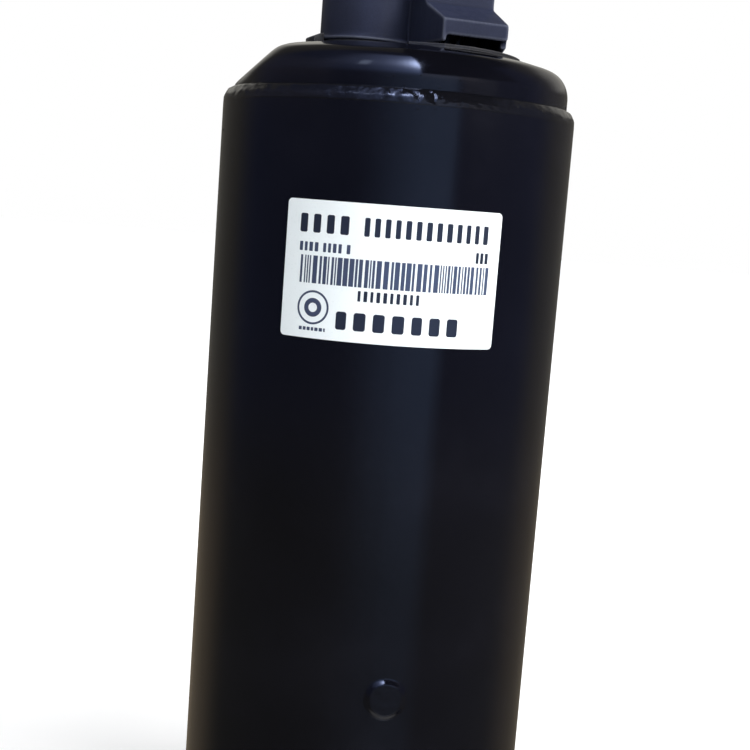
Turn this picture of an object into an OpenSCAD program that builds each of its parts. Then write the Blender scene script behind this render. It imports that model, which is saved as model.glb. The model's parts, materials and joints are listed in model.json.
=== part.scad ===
// Hermetic rolling-piston refrigeration compressor with suction accumulator.
// Frame: millimetres, +Z up, origin on the casing axis in the plane the foot grommets stand on.
// Front (rating label, terminal cover hood) is -Y; the suction accumulator is at +Y.

/* [Casing] */
// Outside diameter of the rolled steel casing tube
shell_d = 112; // [111:0.5:113]
// Wall thickness of the casing tube
shell_t = 2.7; // [2.5:0.1:2.7]
// Height of the tube's lower edge above the ground plane
shell_bottom = 34; // [33:0.5:35]
// Height of the upper seam above the ground plane
seam_z = 258; // [257:0.5:260]
// Height of the flat top of the upper cap above the seam
cap_rise = 15.8; // [15.4:0.2:16.4]
// Wall thickness of the two drawn caps
cap_t = 3; // [2.5:0.25:3]

/* [Terminal cover] */
// Overall height of the moulded terminal cover
cover_h = 35.8; // [33:0.1:40]
// Wall thickness of the moulded terminal cover
cover_t = 2; // [1.6:0.1:2.2]
// Radius of the round lobe that holds the overload protector
lobe_r = 14.5; // [14:0.1:15]

/* [Mounting] */
// Diameter of the circle through the three foot bolts
foot_pcd = 170; // [166:1:176]
// Clearance hole through each grommet sleeve
foot_bolt_d = 8.4; // [8.4:0.1:9]

/* [Accumulator] */
// Outside diameter of the accumulator can
acc_d = 60; // [58:1:60]
// Distance of the accumulator axis behind the casing axis
acc_y = 94; // [94:0.5:96]
// Inside diameter of the suction inlet socket
suction_id = 12.8; // [12.8:0.05:13]
// Inside diameter of the discharge tube
discharge_id = 8.1; // [8.1:0.05:8.3]

/* [Pump] */
// Bore of the pump cylinder
bore_d = 54; // [54:0.5:54]
// Eccentricity of the crankshaft
ecc = 4.2; // [4.2:0.1:4.2]
// Height of the pump cylinder
cyl_h = 25; // [25:0.5:25]
// Height of the middle of the pump cylinder, where it is plug welded to the casing
pump_z = 82; // [81.5:0.5:82.5]
// Azimuth of the vane, degrees counter-clockwise from +X
vane_az = 68; // [66:1:69]

/* [Rating label] */
// Width of the label measured round the casing
label_w = 65; // [50:1:75]
// Height of the label
label_h = 39.5; // [30:0.5:45]

/* [Hidden] */
$fn = 72;

steel = "lightsteelblue";
iron = "dimgray";
black = "#111114";
copper = "peru";
aluminium = "silver";
lamination = "slategray";

gap = 0.02;                     // hairline that keeps neighbouring pieces apart
thirds = [90, 210, 330];        // azimuths of the feet and of the terminal pins

// Casing
shell_r = shell_d/2;
shell_inner_r = shell_r - shell_t;
cap_r = shell_inner_r - 0.1;    // outside radius of both caps
tube_top = seam_z - 0.8;
cap_top = seam_z + cap_rise;    // flat top of the upper cap
cap_bottom = 14;                // underside of the lower cap
weld_az = [for(k=[0:2]) -80.4 + 120*k];
foot_r = foot_pcd/2;
sleeve_r = 5.6;

// Fittings on the upper cap: plan positions are [x, y]
cover_z = seam_z + 18;          // underside of the terminal cover
cover_top = cover_z + cover_h;
terminal = [12, -2];            // centre of the hermetic terminal
protector = [-12, -5];          // centre of the overload protector and the cover's lobe
stud = [-2, 14];                // cover stud
discharge = [-8, 31];           // discharge tube
pin_circle_r = 6.2;
discharge_r = discharge_id/2;

// Accumulator
acc_r = acc_d/2;
acc_t = 1.6;                    // wall of the can
elbow_r = 7.95;
elbow_bore_r = 6.4;
bend_r = 18;                    // bend radius of the elbow
strap_z = 168;
strap_h = 16;
screw_y = acc_y + acc_r + 6;

// Motor
stator_z0 = 144;
stator_z1 = 208;
rotor_z0 = 146;
rotor_z1 = 206;
rivet_circle_r = 22;
upper_rivet_az = [vane_az+45, vane_az-45];      // through the upper balance weight
lower_rivet_az = [vane_az+135, vane_az+225];    // through the lower balance weight
rivet_az = concat(upper_rivet_az, lower_rivet_az);

// Pump
cyl_bottom = pump_z - cyl_h/2;
cyl_top = pump_z + cyl_h/2;
flange_top = cyl_top + 11.5;    // top of the main bearing flange
bore_r = bore_d/2;
roller_r = bore_r - ecc - 0.05;
eccentric_r = 14.5;
main_journal_r = 9;
sub_journal_r = 7.5;
vane_tip = ecc + roller_r + 0.03; // vane nose at top dead centre
bolt_circle_r = 36.5;
upper_bolt_az = [112, 158, 206, 254, 302];
lower_bolt_az = [136, 182, 230, 278, 350];
port_az = vane_az - 14;         // discharge port
reed_root = [1.2, -24];         // riveted end of the reed, from the port
reed_z = flange_top - 4.5;      // floor of the reed's pocket

// ---------- helpers ----------
module tube(outer_r, inner_r, z0, z1) {
  difference() {
    translate([0,0,z0]) cylinder(r=outer_r, h=z1-z0);
    translate([0,0,z0-1]) cylinder(r=inner_r, h=z1-z0+2);
  }
}
// children at an [x, y] point
module place(point, z=0) translate([point[0],point[1],z]) children();
// children at azimuth az and radius r
module polar(az, r, z=0) rotate([0,0,az]) translate([r,0,z]) children();
// rod lying along azimuth az, from radius r0 to r1
module radial_rod(az, z, r0, r1, r) polar(az, r0, z) rotate([0,90,0]) cylinder(r=r, h=r1-r0);
module at_feet(z=0) for(a=thirds) polar(a, foot_r, z) children();
module at_accumulator() translate([0,acc_y,0]) children();
module at_bolts(azimuths, z=0) for(a=azimuths) polar(a, bolt_circle_r, z) children();

function ellipse_arc(x, z, rx, rz, angles) = [for(a=angles) [x + rx*cos(a), z + rz*sin(a)]];
function arc(x, z, r, angles) = ellipse_arc(x, z, r, r, angles);

// ---------- casing ----------
module main_shell() color(black) difference() {
  rotate_extrude() polygon([
    [shell_inner_r,shell_bottom], [shell_r-0.8,shell_bottom], [shell_r,shell_bottom+0.8],
    [shell_r,tube_top-2], [shell_inner_r+0.5,tube_top], [shell_inner_r,tube_top]]);
  for(a=weld_az) radial_rod(a, pump_z, shell_inner_r-5, shell_r+5, 4.5);
  radial_rod(90, pump_z, shell_inner_r-5, shell_r+5, 10.55);
}

// [r, z] half profile of the upper cap, inset from its outer skin:
// skirt, rounded shoulder, cone, flat top
function upper_cap_profile(inset) =
  let(shoulder_r = 6.8,
      slope = 14.9,
      sweep = 90 - slope,
      arc_r = shoulder_r - inset,
      arc_x = cap_r - shoulder_r,
      arc_z = seam_z + 6.6,
      cone_x = arc_x + arc_r*cos(sweep),
      cone_z = arc_z + arc_r*sin(sweep),
      flat_r = cone_x - (cap_top - inset - cone_z)/tan(slope))
  concat([[0,seam_z-10], [cap_r-inset,seam_z-10]],
         arc(arc_x, arc_z, arc_r, [0:sweep/8:sweep+0.01]),
         [[flat_r,cap_top-inset], [0,cap_top-inset]]);

// slanted flat on the -X side of the upper cap
module facet_cut(inset) rotate([0,0,12]) translate([-cap_r,0,seam_z+2.4])
  rotate([0,-45.5,0]) translate([-20,-70,-inset]) cube([90,140,50]);

module upper_cap_solid(inset, drop) difference() {
  translate([0,0,-drop]) rotate_extrude() polygon(upper_cap_profile(inset));
  facet_cut(inset);
}
module upper_cap() color(black) difference() {
  upper_cap_solid(0, 0);
  upper_cap_solid(cap_t, 0.01);
  place(terminal, cap_top-10) cylinder(r=12.05, h=20);
  place(discharge, cap_top-10) cylinder(r=7.55, h=20);
}

function lower_cap_profile(inset, top) = let(corner_r = 9) concat(
  [[0,cap_bottom+inset], [cap_r-corner_r,cap_bottom+inset]],
  arc(cap_r-corner_r, cap_bottom+corner_r, corner_r-inset, [-75:15:0]),
  [[cap_r-inset,top], [0,top]]);
module lower_cap() color(black) difference() {
  rotate_extrude() polygon(lower_cap_profile(0, shell_bottom+10));
  rotate_extrude() polygon(lower_cap_profile(cap_t, shell_bottom+11));
}

module upper_seam_weld() color(black) rotate_extrude() polygon(concat(
  [[cap_r+gap,tube_top+gap], [shell_inner_r+0.52,tube_top+gap]],
  ellipse_arc(cap_r+gap, tube_top-2+gap, shell_r-cap_r, 4.6, [0:15:90])));
module lower_seam_weld() color(black) rotate_extrude() polygon(concat(
  [[cap_r+gap,shell_bottom-gap]],
  ellipse_arc(cap_r+gap, shell_bottom-gap, 2.4, -2.1, [0:15:90])));

// a plug through the wall and a domed button outside it
module plug_welds() color(black) for(a=weld_az) rotate([0,0,a]) {
  dome_r = 14.4;
  translate([shell_inner_r+0.05,0,pump_z]) rotate([0,90,0]) cylinder(r=4.45, h=shell_t+0.3);
  difference() {
    translate([shell_r+1.2-dome_r,0,pump_z]) sphere(r=dome_r);
    cylinder(r=shell_r+gap, h=400);
  }
}

// three-armed plate with a rib under each edge of every arm
module mounting_base() color(black) difference() {
  pad_r = 14;
  rib_t = 2.6;
  union() {
    translate([0,0,11]) linear_extrude(3) union() {
      circle(r=47);
      for(a=thirds) rotate([0,0,a]) {
        polygon([[10,-33],[foot_r,-pad_r],[foot_r,pad_r],[10,33]]);
        translate([foot_r,0]) circle(r=pad_r);
      }
    }
    for(a=thirds) rotate([0,0,a]) for(s=[-1,1])
      translate([49,s*20.4,6.5]) rotate([0,0,-s*14.2])
        translate([0,s>0?-rib_t:0,0]) cube([26,rib_t,5.5]);
  }
  translate([0,0,5]) cylinder(r=24, h=20);
  at_feet(5) cylinder(r=9, h=20);
}
module foot_grommets() color("#18181a") at_feet() difference() {
  rotate_extrude() polygon([
    [0,0], [11.5,0], [13,1.5], [13,9.4], [11.6,10.95], [8.92,10.95], [8.92,14.05],
    [11.2,14.05], [11.6,15], [9.4,22], [0,22]]);
  translate([0,0,-1]) cylinder(r=sleeve_r+gap, h=30);
}
module grommet_sleeves() color(aluminium) at_feet() difference() {
  union() {
    cylinder(r=sleeve_r, h=22.4);
    translate([0,0,22.05]) cylinder(r=9, h=1.4);
  }
  translate([0,0,-1]) cylinder(r=foot_bolt_d/2, h=30);
}

module discharge_tube() color(copper) place(discharge)
  tube(discharge_r+0.75, discharge_r, 264, 321);
module discharge_collar() color(steel) place(discharge) difference() {
  rotate_extrude() polygon([[0,cap_top-4.5], [7.5,cap_top-4.5], [7.5,cap_top+3.5],
    [6.6,cap_top+6], [0,cap_top+6]]);
  translate([0,0,cap_top-10]) cylinder(r=discharge_r+0.75+gap, h=30);
}

// ---------- terminal group ----------
module at_pins() for(a=thirds)
  place(terminal + pin_circle_r*[cos(a),sin(a)]) rotate([0,0,a]) children();

module terminal_body() color(steel) difference() {
  place(terminal) union() {
    translate([0,0,cap_top-cap_t-2.5]) cylinder(r=16, h=2.45);
    translate([0,0,cap_top-cap_t-2.5]) cylinder(r=12, h=cap_t+2.5);
  }
  at_pins() translate([0,0,cap_top-20]) cylinder(r=2.6, h=40);
  place(terminal, cap_top-1.2) cylinder(r=10.4, h=5);
}
module terminal_glass() color("seagreen") at_pins() difference() {
  rotate_extrude() polygon([[0,cap_top-cap_t-3.6], [1.8,cap_top-cap_t-3.6],
    [2.58,cap_top-cap_t-2.6], [2.58,cap_top-1.3], [1.8,cap_top+0.6], [0,cap_top+0.6]]);
  translate([0,0,cap_top-20]) cylinder(r=1.2, h=40);
}
// round pins with a flat tab on each
module terminal_pins() color(steel) at_pins() union() {
  translate([0,0,cap_top-13]) cylinder(r=1.18, h=23);
  translate([-0.4,-3.15,cap_top+6]) cube([0.8,6.3,11]);
}
module cover_stud() color(steel) place(stud) union() {
  translate([0,0,cap_top]) cylinder(r=5, h=1.4);
  translate([0,0,cap_top]) cylinder(r=2.5, h=cover_top+6-cap_top);
}
// stepped round body with two tabs on top
module overload_protector() color("#3a2a20") place(protector) union() {
  rotate_extrude() polygon([[0,cap_top+0.05], [10.6,cap_top+0.05], [11,cap_top+0.5],
    [11,cap_top+7], [9,cap_top+8.5], [9,cap_top+10.5], [8,cap_top+11.5], [0,cap_top+11.5]]);
  for(s=[-1,1]) translate([s*5-0.4,-3.1,cap_top+11]) cube([0.8,6.2,8]);
}
module protector_clip() color(steel) place(protector) union() {
  for(s=[-1,1]) translate([-2,s*11.7-0.35,cap_top+0.05]) cube([4,0.7,12.4]);
  translate([-2,-12.05,cap_top+11.55]) cube([4,24.1,0.9]);
}

// Corner shift per unit of inset, at the ends of the cover's slanted front edges
slant_left = [0.494, 1.235];
slant_right = [-1, 0.707];
cover_right = 26.8;             // right wall above the shoulder
hood_corner = [11.2, -31];      // front left corner of the low hood

// outline of the cover above the shoulder
module upper_plan(inset) union() {
  translate(protector) circle(r=lobe_r-inset);
  polygon([[-22+inset,-6], [-5,-6+min(inset,1)], [-5,-11+inset], [1-inset*0.1,-11+inset],
    [5.6,-20]+inset*slant_left, [cover_right,-12.5]+inset*slant_right,
    [cover_right-inset,20-inset], [-16,20-inset], [-22+inset,14]]);
}
// outline of the low hood at the front right
module low_plan(inset) polygon([[1+inset*0.8,-11+inset*0.2],
  hood_corner+inset*slant_left, [31,-24]+inset*slant_right,
  [31-inset,6], [cover_right-inset,11], [1+inset*0.8,11]]);
// tall part, low hood and the sloping shoulder between them
module cover_solid(inset, z0, z1) union() {
  shoulder_z = seam_z + 24.7 - inset*0.6;
  translate([0,0,z0]) linear_extrude(z1-z0) upper_plan(inset);
  translate([0,0,z0]) linear_extrude(shoulder_z-z0) low_plan(inset);
  hull() {
    translate([0,0,shoulder_z-0.01]) linear_extrude(0.01) low_plan(inset);
    translate([0,0,shoulder_z+5.8]) linear_extrude(0.01) polygon([
      [1+inset,-11+inset*0.2], [5.6+inset*0.6,-20+inset*1.235],
      [cover_right,-12.5]+inset*slant_right, [cover_right-inset,11], [1+inset,11]]);
  }
}
module terminal_cover() color("#1a1a1e") difference() {
  union() {
    cover_solid(0, cover_z, cover_top);
    // rim round the foot of the lobe
    difference() {
      place(protector, cover_z) cylinder(r=lobe_r+1, h=1.1);
      translate([1,-30,cover_z-1]) cube([20,60,4]);
    }
    place(stud, cover_z+1) cylinder(r=4.6, h=cover_h-1.05);
  }
  // inside, leaving the stud boss standing
  difference() {
    cover_solid(cover_t, cover_z-1, cover_top-cover_t);
    place(stud, cover_z+8) cylinder(r=4.6, h=cover_h);
  }
  // slot under the hood's front wall
  place(hood_corner, cover_z-1) rotate([0,0,19.47]) translate([1.2,-3,0]) cube([32,7,3.05]);
  place(stud, cover_z-1) cylinder(r=2.75, h=cover_h+5);
  place(stud, cover_z-1) cylinder(r=5.4, h=9);
}
module terminal_gasket() color("#141415") union() {
  wall_inset = 2.2;
  stud_hole_r = 5.6;
  // seat under the cover's wall
  translate([0,0,cap_top+0.01]) linear_extrude(cover_z-cap_top-0.03) difference() {
    union() {
      upper_plan(0.1);
      low_plan(0.1);
    }
    union() {
      upper_plan(wall_inset);
      translate([8,-40]) square([24,29]);
      translate(stud) circle(r=stud_hole_r);
    }
  }
  // thin apron on the flat of the cap
  translate([0,0,cap_top+0.01]) linear_extrude(1) difference() {
    intersection() {
      union() {
        upper_plan(-1.2);
        low_plan(-0.6);
        polygon([[-3,-12], [1.5,-33], [12,-34.5], [34,-27], [36.5,-11], [36.5,5], [28,9], [0,9]]);
        translate([protector[0]-4,protector[1]]) circle(r=lobe_r+0.8);
      }
      circle(r=37.4);
    }
    union() {
      upper_plan(wall_inset);
      translate(stud) circle(r=stud_hole_r);
    }
  }
  // upturned lip at the left of the lobe
  place(protector) rotate([0,0,155]) rotate_extrude(angle=60) polygon([[15.6,cap_top+0.5],
    [18.9,cap_top+0.5], [18.9,cap_top+2.6], [15.6,cap_top+4.1]]);
}
module cover_washer() color(steel) place(stud) tube(5.5, 2.7, cover_top+gap, cover_top+1+gap);
module cover_nut() color(steel) place(stud) difference() {
  translate([0,0,cover_top+1+2*gap]) cylinder(r=4.62, h=4, $fn=6);
  translate([0,0,cover_top]) cylinder(r=2.53, h=10);
}
module earth_screw() color("gold") translate([19,13.3,0]) union() {
  translate([0,0,cap_top+gap]) cylinder(r=3.2, h=2.2);
  translate([0,0,cap_top+2.2]) cylinder(r=3.9, h=2.4);
}

label_half_angle = label_w/shell_r*90/PI;
module rating_label() color("white") rotate([0,0,-90+1.6-label_half_angle])
  rotate_extrude(angle=2*label_half_angle)
    translate([shell_r+gap,seam_z-70.5]) square([0.16,label_h]);

// ---------- suction accumulator ----------
// can with rounded ends, each with a short neck
module accumulator_shell() color(black) at_accumulator() {
  end_r = 14;
  arc_x = acc_r - end_r;
  low_z = 121;
  high_z = 222;
  neck_r = 8.0;
  rotate_extrude() polygon(concat(
    [[neck_r,100], [neck_r+acc_t,100], [neck_r+acc_t,107]],
    arc(arc_x, low_z, end_r, [-78:13:0]),
    arc(arc_x, high_z, end_r, [0:13:78]),
    [[neck_r+acc_t,236], [neck_r+acc_t,243], [neck_r,243], [neck_r,234.6]],
    arc(arc_x, high_z, end_r-acc_t, [78:-13:0]),
    arc(arc_x, low_z, end_r-acc_t, [0:-13:-78]),
    [[neck_r,108.4]]));
}
module accumulator_inlet_tube() color(copper) at_accumulator() tube(7.96, suction_id/2, 232, 276);
// riser with a small hole in its side
module accumulator_standpipe() color(copper) at_accumulator() difference() {
  tube(6.36, 5.3, 102, 200);
  radial_rod(0, 128, 3, 8, 0.8);
}
module accumulator_screen() color(steel) at_accumulator() rotate_extrude() polygon([
  [28.3,214], [28.3,218], [27.6,218], [27.4,214.8], [4,222], [0,222],
  [0,221.2], [4,221.2], [27,214]]);
module accumulator_baffle() color(steel) at_accumulator() difference() {
  rotate_extrude() polygon([[0,205], [20,205], [27.4,203], [28.3,203], [28.3,207],
    [27.6,207], [20,206], [0,206]]);
  for(a=[0:60:300]) polar(a, 18, 200) cylinder(r=3.4, h=10);
}

module elbow_bend(r) translate([0,acc_y-bend_r,pump_z+bend_r]) rotate([90,0,90])
  rotate_extrude(angle=-90) translate([bend_r,0]) circle(r=r);
// from the bottom of the accumulator round into the pump cylinder
module suction_elbow() color(copper) difference() {
  bend_y = acc_y - bend_r;
  start_y = 45;
  union() {
    translate([0,acc_y,pump_z+bend_r]) cylinder(r=elbow_r, h=8);
    elbow_bend(elbow_r);
    translate([0,start_y,pump_z]) rotate([-90,0,0]) cylinder(r=elbow_r, h=bend_y-start_y);
  }
  translate([0,acc_y,pump_z+bend_r-0.01]) cylinder(r=elbow_bore_r, h=10);
  elbow_bend(elbow_bore_r);
  translate([0,start_y-1,pump_z]) rotate([-90,0,0])
    cylinder(r=elbow_bore_r, h=bend_y-start_y+1.01);
}
module suction_adapter() color(steel) translate([0,0,pump_z]) rotate([-90,0,0]) difference() {
  union() {
    translate([0,0,cap_r+0.3]) cylinder(r=10.5, h=9.5);
    translate([0,0,cap_r+9]) cylinder(r1=10.5, r2=9.4, h=4);
  }
  translate([0,0,cap_r-2]) cylinder(r=elbow_r+0.03, h=30);
}
// open-sided saddle between the casing and the strap
module accumulator_bracket() color(black) difference() {
  cut_z = 160;
  cut_h = 40;
  translate([-17,50,strap_z-2]) cube([34,22,strap_h+4]);
  translate([0,0,cut_z]) cylinder(r=shell_r+gap, h=cut_h);
  translate([0,acc_y,cut_z]) cylinder(r=acc_r+1.35, h=cut_h);
  translate([-14.5,48,cut_z]) cube([29,shell_r+2-48,cut_h]);
  translate([-14.5,shell_r+4,cut_z]) cube([29,20,cut_h]);
}
// band open at the back, with two ears for the screw
module accumulator_strap() color(steel) difference() {
  ear_t = 1.3;
  union() {
    at_accumulator() tube(acc_r+1.3, acc_r+0.03, strap_z, strap_z+strap_h);
    for(s=[-1,1])
      translate([s*3.6-ear_t/2,acc_y+acc_r+0.6,strap_z]) cube([ear_t,10,strap_h]);
  }
  translate([-2.94,acc_y+acc_r-3,160]) cube([5.88,8,40]);
  translate([-10,screw_y,strap_z+strap_h/2]) rotate([0,90,0]) cylinder(r=2.1, h=20);
}
module strap_screw() color(aluminium)
  translate([0,screw_y,strap_z+strap_h/2]) rotate([0,90,0]) union() {
    translate([0,0,-9]) cylinder(r=2, h=17.5);
    translate([0,0,4.3]) cylinder(r=3.6, h=3);
    translate([0,0,-9]) cylinder(r=4.04, h=4.6, $fn=6);
  }

// ---------- motor ----------
function slot_profile(inset) = [
  [29.6+inset,-1.9+inset*0.9], [41.5-inset,-3.3+inset], [43-inset,-2.2+inset],
  [43-inset,2.2-inset], [41.5-inset,3.3-inset], [29.6+inset,1.9-inset*0.9]];
// 24 slots open to the bore, four flats on the outside
module stator_core() color(lamination)
  translate([0,0,stator_z0]) linear_extrude(stator_z1-stator_z0) difference() {
    circle(r=shell_inner_r-0.05);
    circle(r=28);
    for(k=[0:23]) rotate(k*15) {
      polygon(slot_profile(0));
      translate([27,-1.1]) square([3,2.2]);
    }
    for(k=[0:3]) rotate(45+k*90) translate([shell_inner_r-2.2,-17]) square([6,34]);
  }
module stator_winding() color(copper) union() {
  // end turns: [bottom, top] of each
  for(turn=[[123.5,stator_z0-0.6], [stator_z1+0.6,233]]) rotate_extrude() polygon([
    [32,turn[0]+4], [35,turn[0]], [42,turn[0]], [45.5,turn[0]+4],
    [45.5,turn[1]-3], [43,turn[1]], [33,turn[1]], [31.5,turn[1]-3]]);
  for(k=[0:23]) rotate([0,0,k*15]) translate([0,0,stator_z0-2])
    linear_extrude(stator_z1-stator_z0+4) polygon(slot_profile(0.45));
}
module wire(path, r) union() for(i=[0:len(path)-2]) {
  step = path[i+1] - path[i];
  length = norm(step);
  translate(path[i]) rotate([0,acos(step[2]/length),atan2(step[1],step[0])])
    cylinder(r=r, h=length, $fn=24);
  translate(path[i+1]) sphere(r=r*1.06, $fn=24);
}
// from the upper end turns to the terminal pins
module motor_leads() color("ivory") for(k=[0:2]) {
  pin_az = thirds[k];
  coil_az = [70, -110, -20][k];
  start = 38*[cos(coil_az), sin(coil_az)];
  pin = terminal + pin_circle_r*[cos(pin_az), sin(pin_az)];
  wire([[start[0],start[1],233.1], [start[0],start[1],240],
    [pin[0]*0.9+3*cos(pin_az),pin[1]+3*sin(pin_az),248], [pin[0],pin[1],253.5]], 1.3);
}
module lead_connector() color("#202022") difference() {
  place(terminal, 255) cylinder(r=11, h=11);
  at_pins() translate([0,0,cap_top-14]) cylinder(r=1.25, h=23);
}

module rivet_holes(drop, h) for(a=rivet_az)
  polar(a, rivet_circle_r, rotor_z0-drop) cylinder(r=2.03, h=h);
module rotor_core() color(lamination) difference() {
  tube(27.6, main_journal_r+gap, rotor_z0, rotor_z1);
  rivet_holes(1, 100);
}
module rotor_end_rings() color(aluminium) difference() {
  union() {
    tube(27, 18.4, rotor_z0-8, rotor_z0-gap);
    tube(27, 15, rotor_z1+gap, rotor_z1+8);
  }
  rivet_holes(20, 120);
}
module half_ring(outer_r, inner_r, z0, z1, az) intersection() {
  tube(outer_r, inner_r, z0, z1);
  rotate([0,0,az]) translate([1.5,-40,z0-1]) cube([60,80,z1-z0+2]);
}
module upper_balance_weight() color("darkgoldenrod") difference() {
  half_ring(27, 13, rotor_z1+8+gap, rotor_z1+18, vane_az);
  rivet_holes(20, 120);
}
module lower_balance_weight() color("darkgoldenrod") difference() {
  half_ring(27, 18.6, rotor_z0-17, rotor_z0-8-gap, vane_az+180);
  rivet_holes(30, 120);
}
// shank from shank_z up, with a head at each end
module rivet(shank_z, shank_h, low_head_z, low_head_h, high_head_z) union() {
  translate([0,0,shank_z]) cylinder(r=2, h=shank_h);
  translate([0,0,low_head_z]) cylinder(r=3.3, h=low_head_h);
  translate([0,0,high_head_z]) cylinder(r=3.3, h=1.6);
}
module rotor_rivets() color(steel) {
  rotor_h = rotor_z1 - rotor_z0;
  for(a=upper_rivet_az) polar(a, rivet_circle_r)
    rivet(rotor_z0-9, rotor_h+28, rotor_z0-10, 1.96, rotor_z1+18.04);
  for(a=lower_rivet_az) polar(a, rivet_circle_r)
    rivet(rotor_z0-18, rotor_h+27, rotor_z0-18.6, 1.56, rotor_z1+8.04);
}

// ---------- pump ----------
module crankshaft() color(iron) difference() {
  union() {
    translate([0,0,cyl_top-2]) cylinder(r=main_journal_r, h=rotor_z1+3-cyl_top+2);
    polar(vane_az, ecc, cyl_bottom+1.5) cylinder(r=eccentric_r, h=cyl_h-3);
    translate([0,0,cyl_bottom+0.05]) cylinder(r=10, h=2);
    translate([0,0,40]) cylinder(r=sub_journal_r, h=cyl_bottom-39);
  }
  // axial bore, timing pin hole and two cross holes
  translate([0,0,39]) cylinder(r=4, h=110);
  polar(vane_az, ecc/2, rotor_z1-9) cylinder(r=1.52, h=20);
  radial_rod(vane_az+180, cyl_bottom+8, 2, 20, 1.6);
  radial_rod(vane_az+180, cyl_top+20, 2, 12, 1.4);
}
// twisted strip in the shaft's axial bore
module oil_paddle() color(steel) translate([0,0,41])
  linear_extrude(height=48, twist=-270, slices=30, $fn=8)
    polygon([[-3.7,-0.4], [3.7,-0.4], [3.7,0.4], [-3.7,0.4]]);

module cylinder_block() color(iron) difference() {
  through_z = cyl_bottom - 1;
  through_h = cyl_h + 2;
  translate([0,0,cyl_bottom]) cylinder(r=cap_r, h=cyl_h);
  translate([0,0,through_z]) cylinder(r=bore_r, h=through_h);
  // vane slot, the round hole at its end and the spring bore
  polar(vane_az, bore_r-2) translate([0,-2.02,through_z]) cube([22.5,4.04,through_h]);
  polar(vane_az, 47.6, through_z) cylinder(r=3.2, h=through_h);
  radial_rod(vane_az, pump_z, 39, 60, 4.1);
  // suction port and the elbow's socket
  radial_rod(90, pump_z, 20, 60, 5.4);
  radial_rod(90, pump_z, 44.5, 60, 8.0);
  // discharge notch
  polar(port_az, bore_r-0.5, cyl_top-5) cylinder(r=3.5, h=10);
  at_bolts(upper_bolt_az, cyl_top-17) cylinder(r=2.52, h=20);
  at_bolts(lower_bolt_az, cyl_bottom-3) cylinder(r=2.52, h=18);
  // arc-shaped windows outside the bolt circle
  for(a=[5,180,270]) rotate([0,0,a])
    translate([0,0,through_z]) linear_extrude(through_h) intersection() {
      difference() {
        circle(r=49);
        circle(r=41.5);
      }
      polygon([[0,0], [80*cos(-19),80*sin(-19)], [80,0], [80*cos(19),80*sin(19)]]);
    }
}

// frame centred on the discharge port, local X radial
module valve_frame() polar(port_az, 24.3) children();

module main_bearing() color(iron) difference() {
  union() {
    translate([0,0,cyl_top+0.01]) cylinder(r=44, h=flange_top-cyl_top-0.01);
    translate([0,0,cyl_top+0.01]) cylinder(r=17, h=140-cyl_top);
  }
  translate([0,0,cyl_top-1]) cylinder(r=main_journal_r+0.03, h=60);
  valve_frame() translate([0,0,cyl_top-1]) cylinder(r=3.2, h=20);
  valve_frame() translate([0,0,reed_z]) linear_extrude(10) union() {
    circle(r=6.4);
    translate(reed_root) circle(r=6.0);
    polygon([[-6.2,0], [6.2,0], [7.2,-24], [-4.8,-24]]);
  }
  valve_frame() place(reed_root, cyl_top-1) cylinder(r=1.82, h=20);
  at_bolts(upper_bolt_az, cyl_top-1) cylinder(r=2.75, h=20);
}
module lower_bearing() color(iron) difference() {
  union() {
    translate([0,0,cyl_bottom-9]) cylinder(r=42, h=8.99);
    translate([0,0,cyl_bottom-28]) cylinder(r=14, h=25);
  }
  translate([0,0,cyl_bottom-40]) cylinder(r=sub_journal_r+0.03, h=60);
  at_bolts(lower_bolt_az, cyl_bottom-12) cylinder(r=2.75, h=20);
}
module roller() color("gainsboro") polar(vane_az, ecc) difference() {
  bevel = 0.3;
  z0 = cyl_bottom + gap;
  z1 = cyl_top - gap;
  rotate_extrude() polygon([[0,z0], [roller_r-bevel,z0], [roller_r,z0+bevel],
    [roller_r,z1-bevel], [roller_r-bevel,z1], [0,z1]]);
  translate([0,0,cyl_bottom-1]) cylinder(r=eccentric_r+0.03, h=cyl_h+2);
}
// blade with a rounded nose and a notch for the spring
module vane() color("gainsboro") rotate([0,0,vane_az]) difference() {
  union() {
    translate([vane_tip+1.2,-2,cyl_bottom+gap]) cube([18.8,4,cyl_h-2*gap]);
    intersection() {
      translate([vane_tip+4,0,cyl_bottom+gap]) cylinder(r=4, h=cyl_h-2*gap);
      translate([vane_tip-1,-2,cyl_bottom]) cube([4,4,cyl_h]);
    }
  }
  translate([vane_tip+14.2,-3,pump_z-4.2]) cube([8,6,8.4]);
}

// round-wire coil along +Z: steps per turn, sides round the wire
module coil(r, wire_r, pitch, turns, steps=20, sides=8) {
  last = steps*turns;
  points = [for(i=[0:last]) let(a=360*i/steps, z=pitch*i/steps)
    for(j=[0:sides-1]) let(b=360*j/sides)
      [(r+wire_r*cos(b))*cos(a), (r+wire_r*cos(b))*sin(a), z+wire_r*sin(b)]];
  start_face = [for(j=[0:sides-1]) j];
  end_face = [for(j=[sides-1:-1:0]) last*sides+j];
  side_faces = [for(i=[0:last-1]) for(j=[0:sides-1]) let(next=(j+1)%sides)
    [i*sides+j, (i+1)*sides+j, (i+1)*sides+next, i*sides+next]];
  polyhedron(points=points, faces=concat([start_face], [end_face], side_faces), convexity=10);
}
module vane_spring() color(steel) polar(vane_az, vane_tip+14.7, pump_z) rotate([0,90,0])
  coil(r=3.35, wire_r=0.42, pitch=1.72, turns=6.5);

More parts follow.
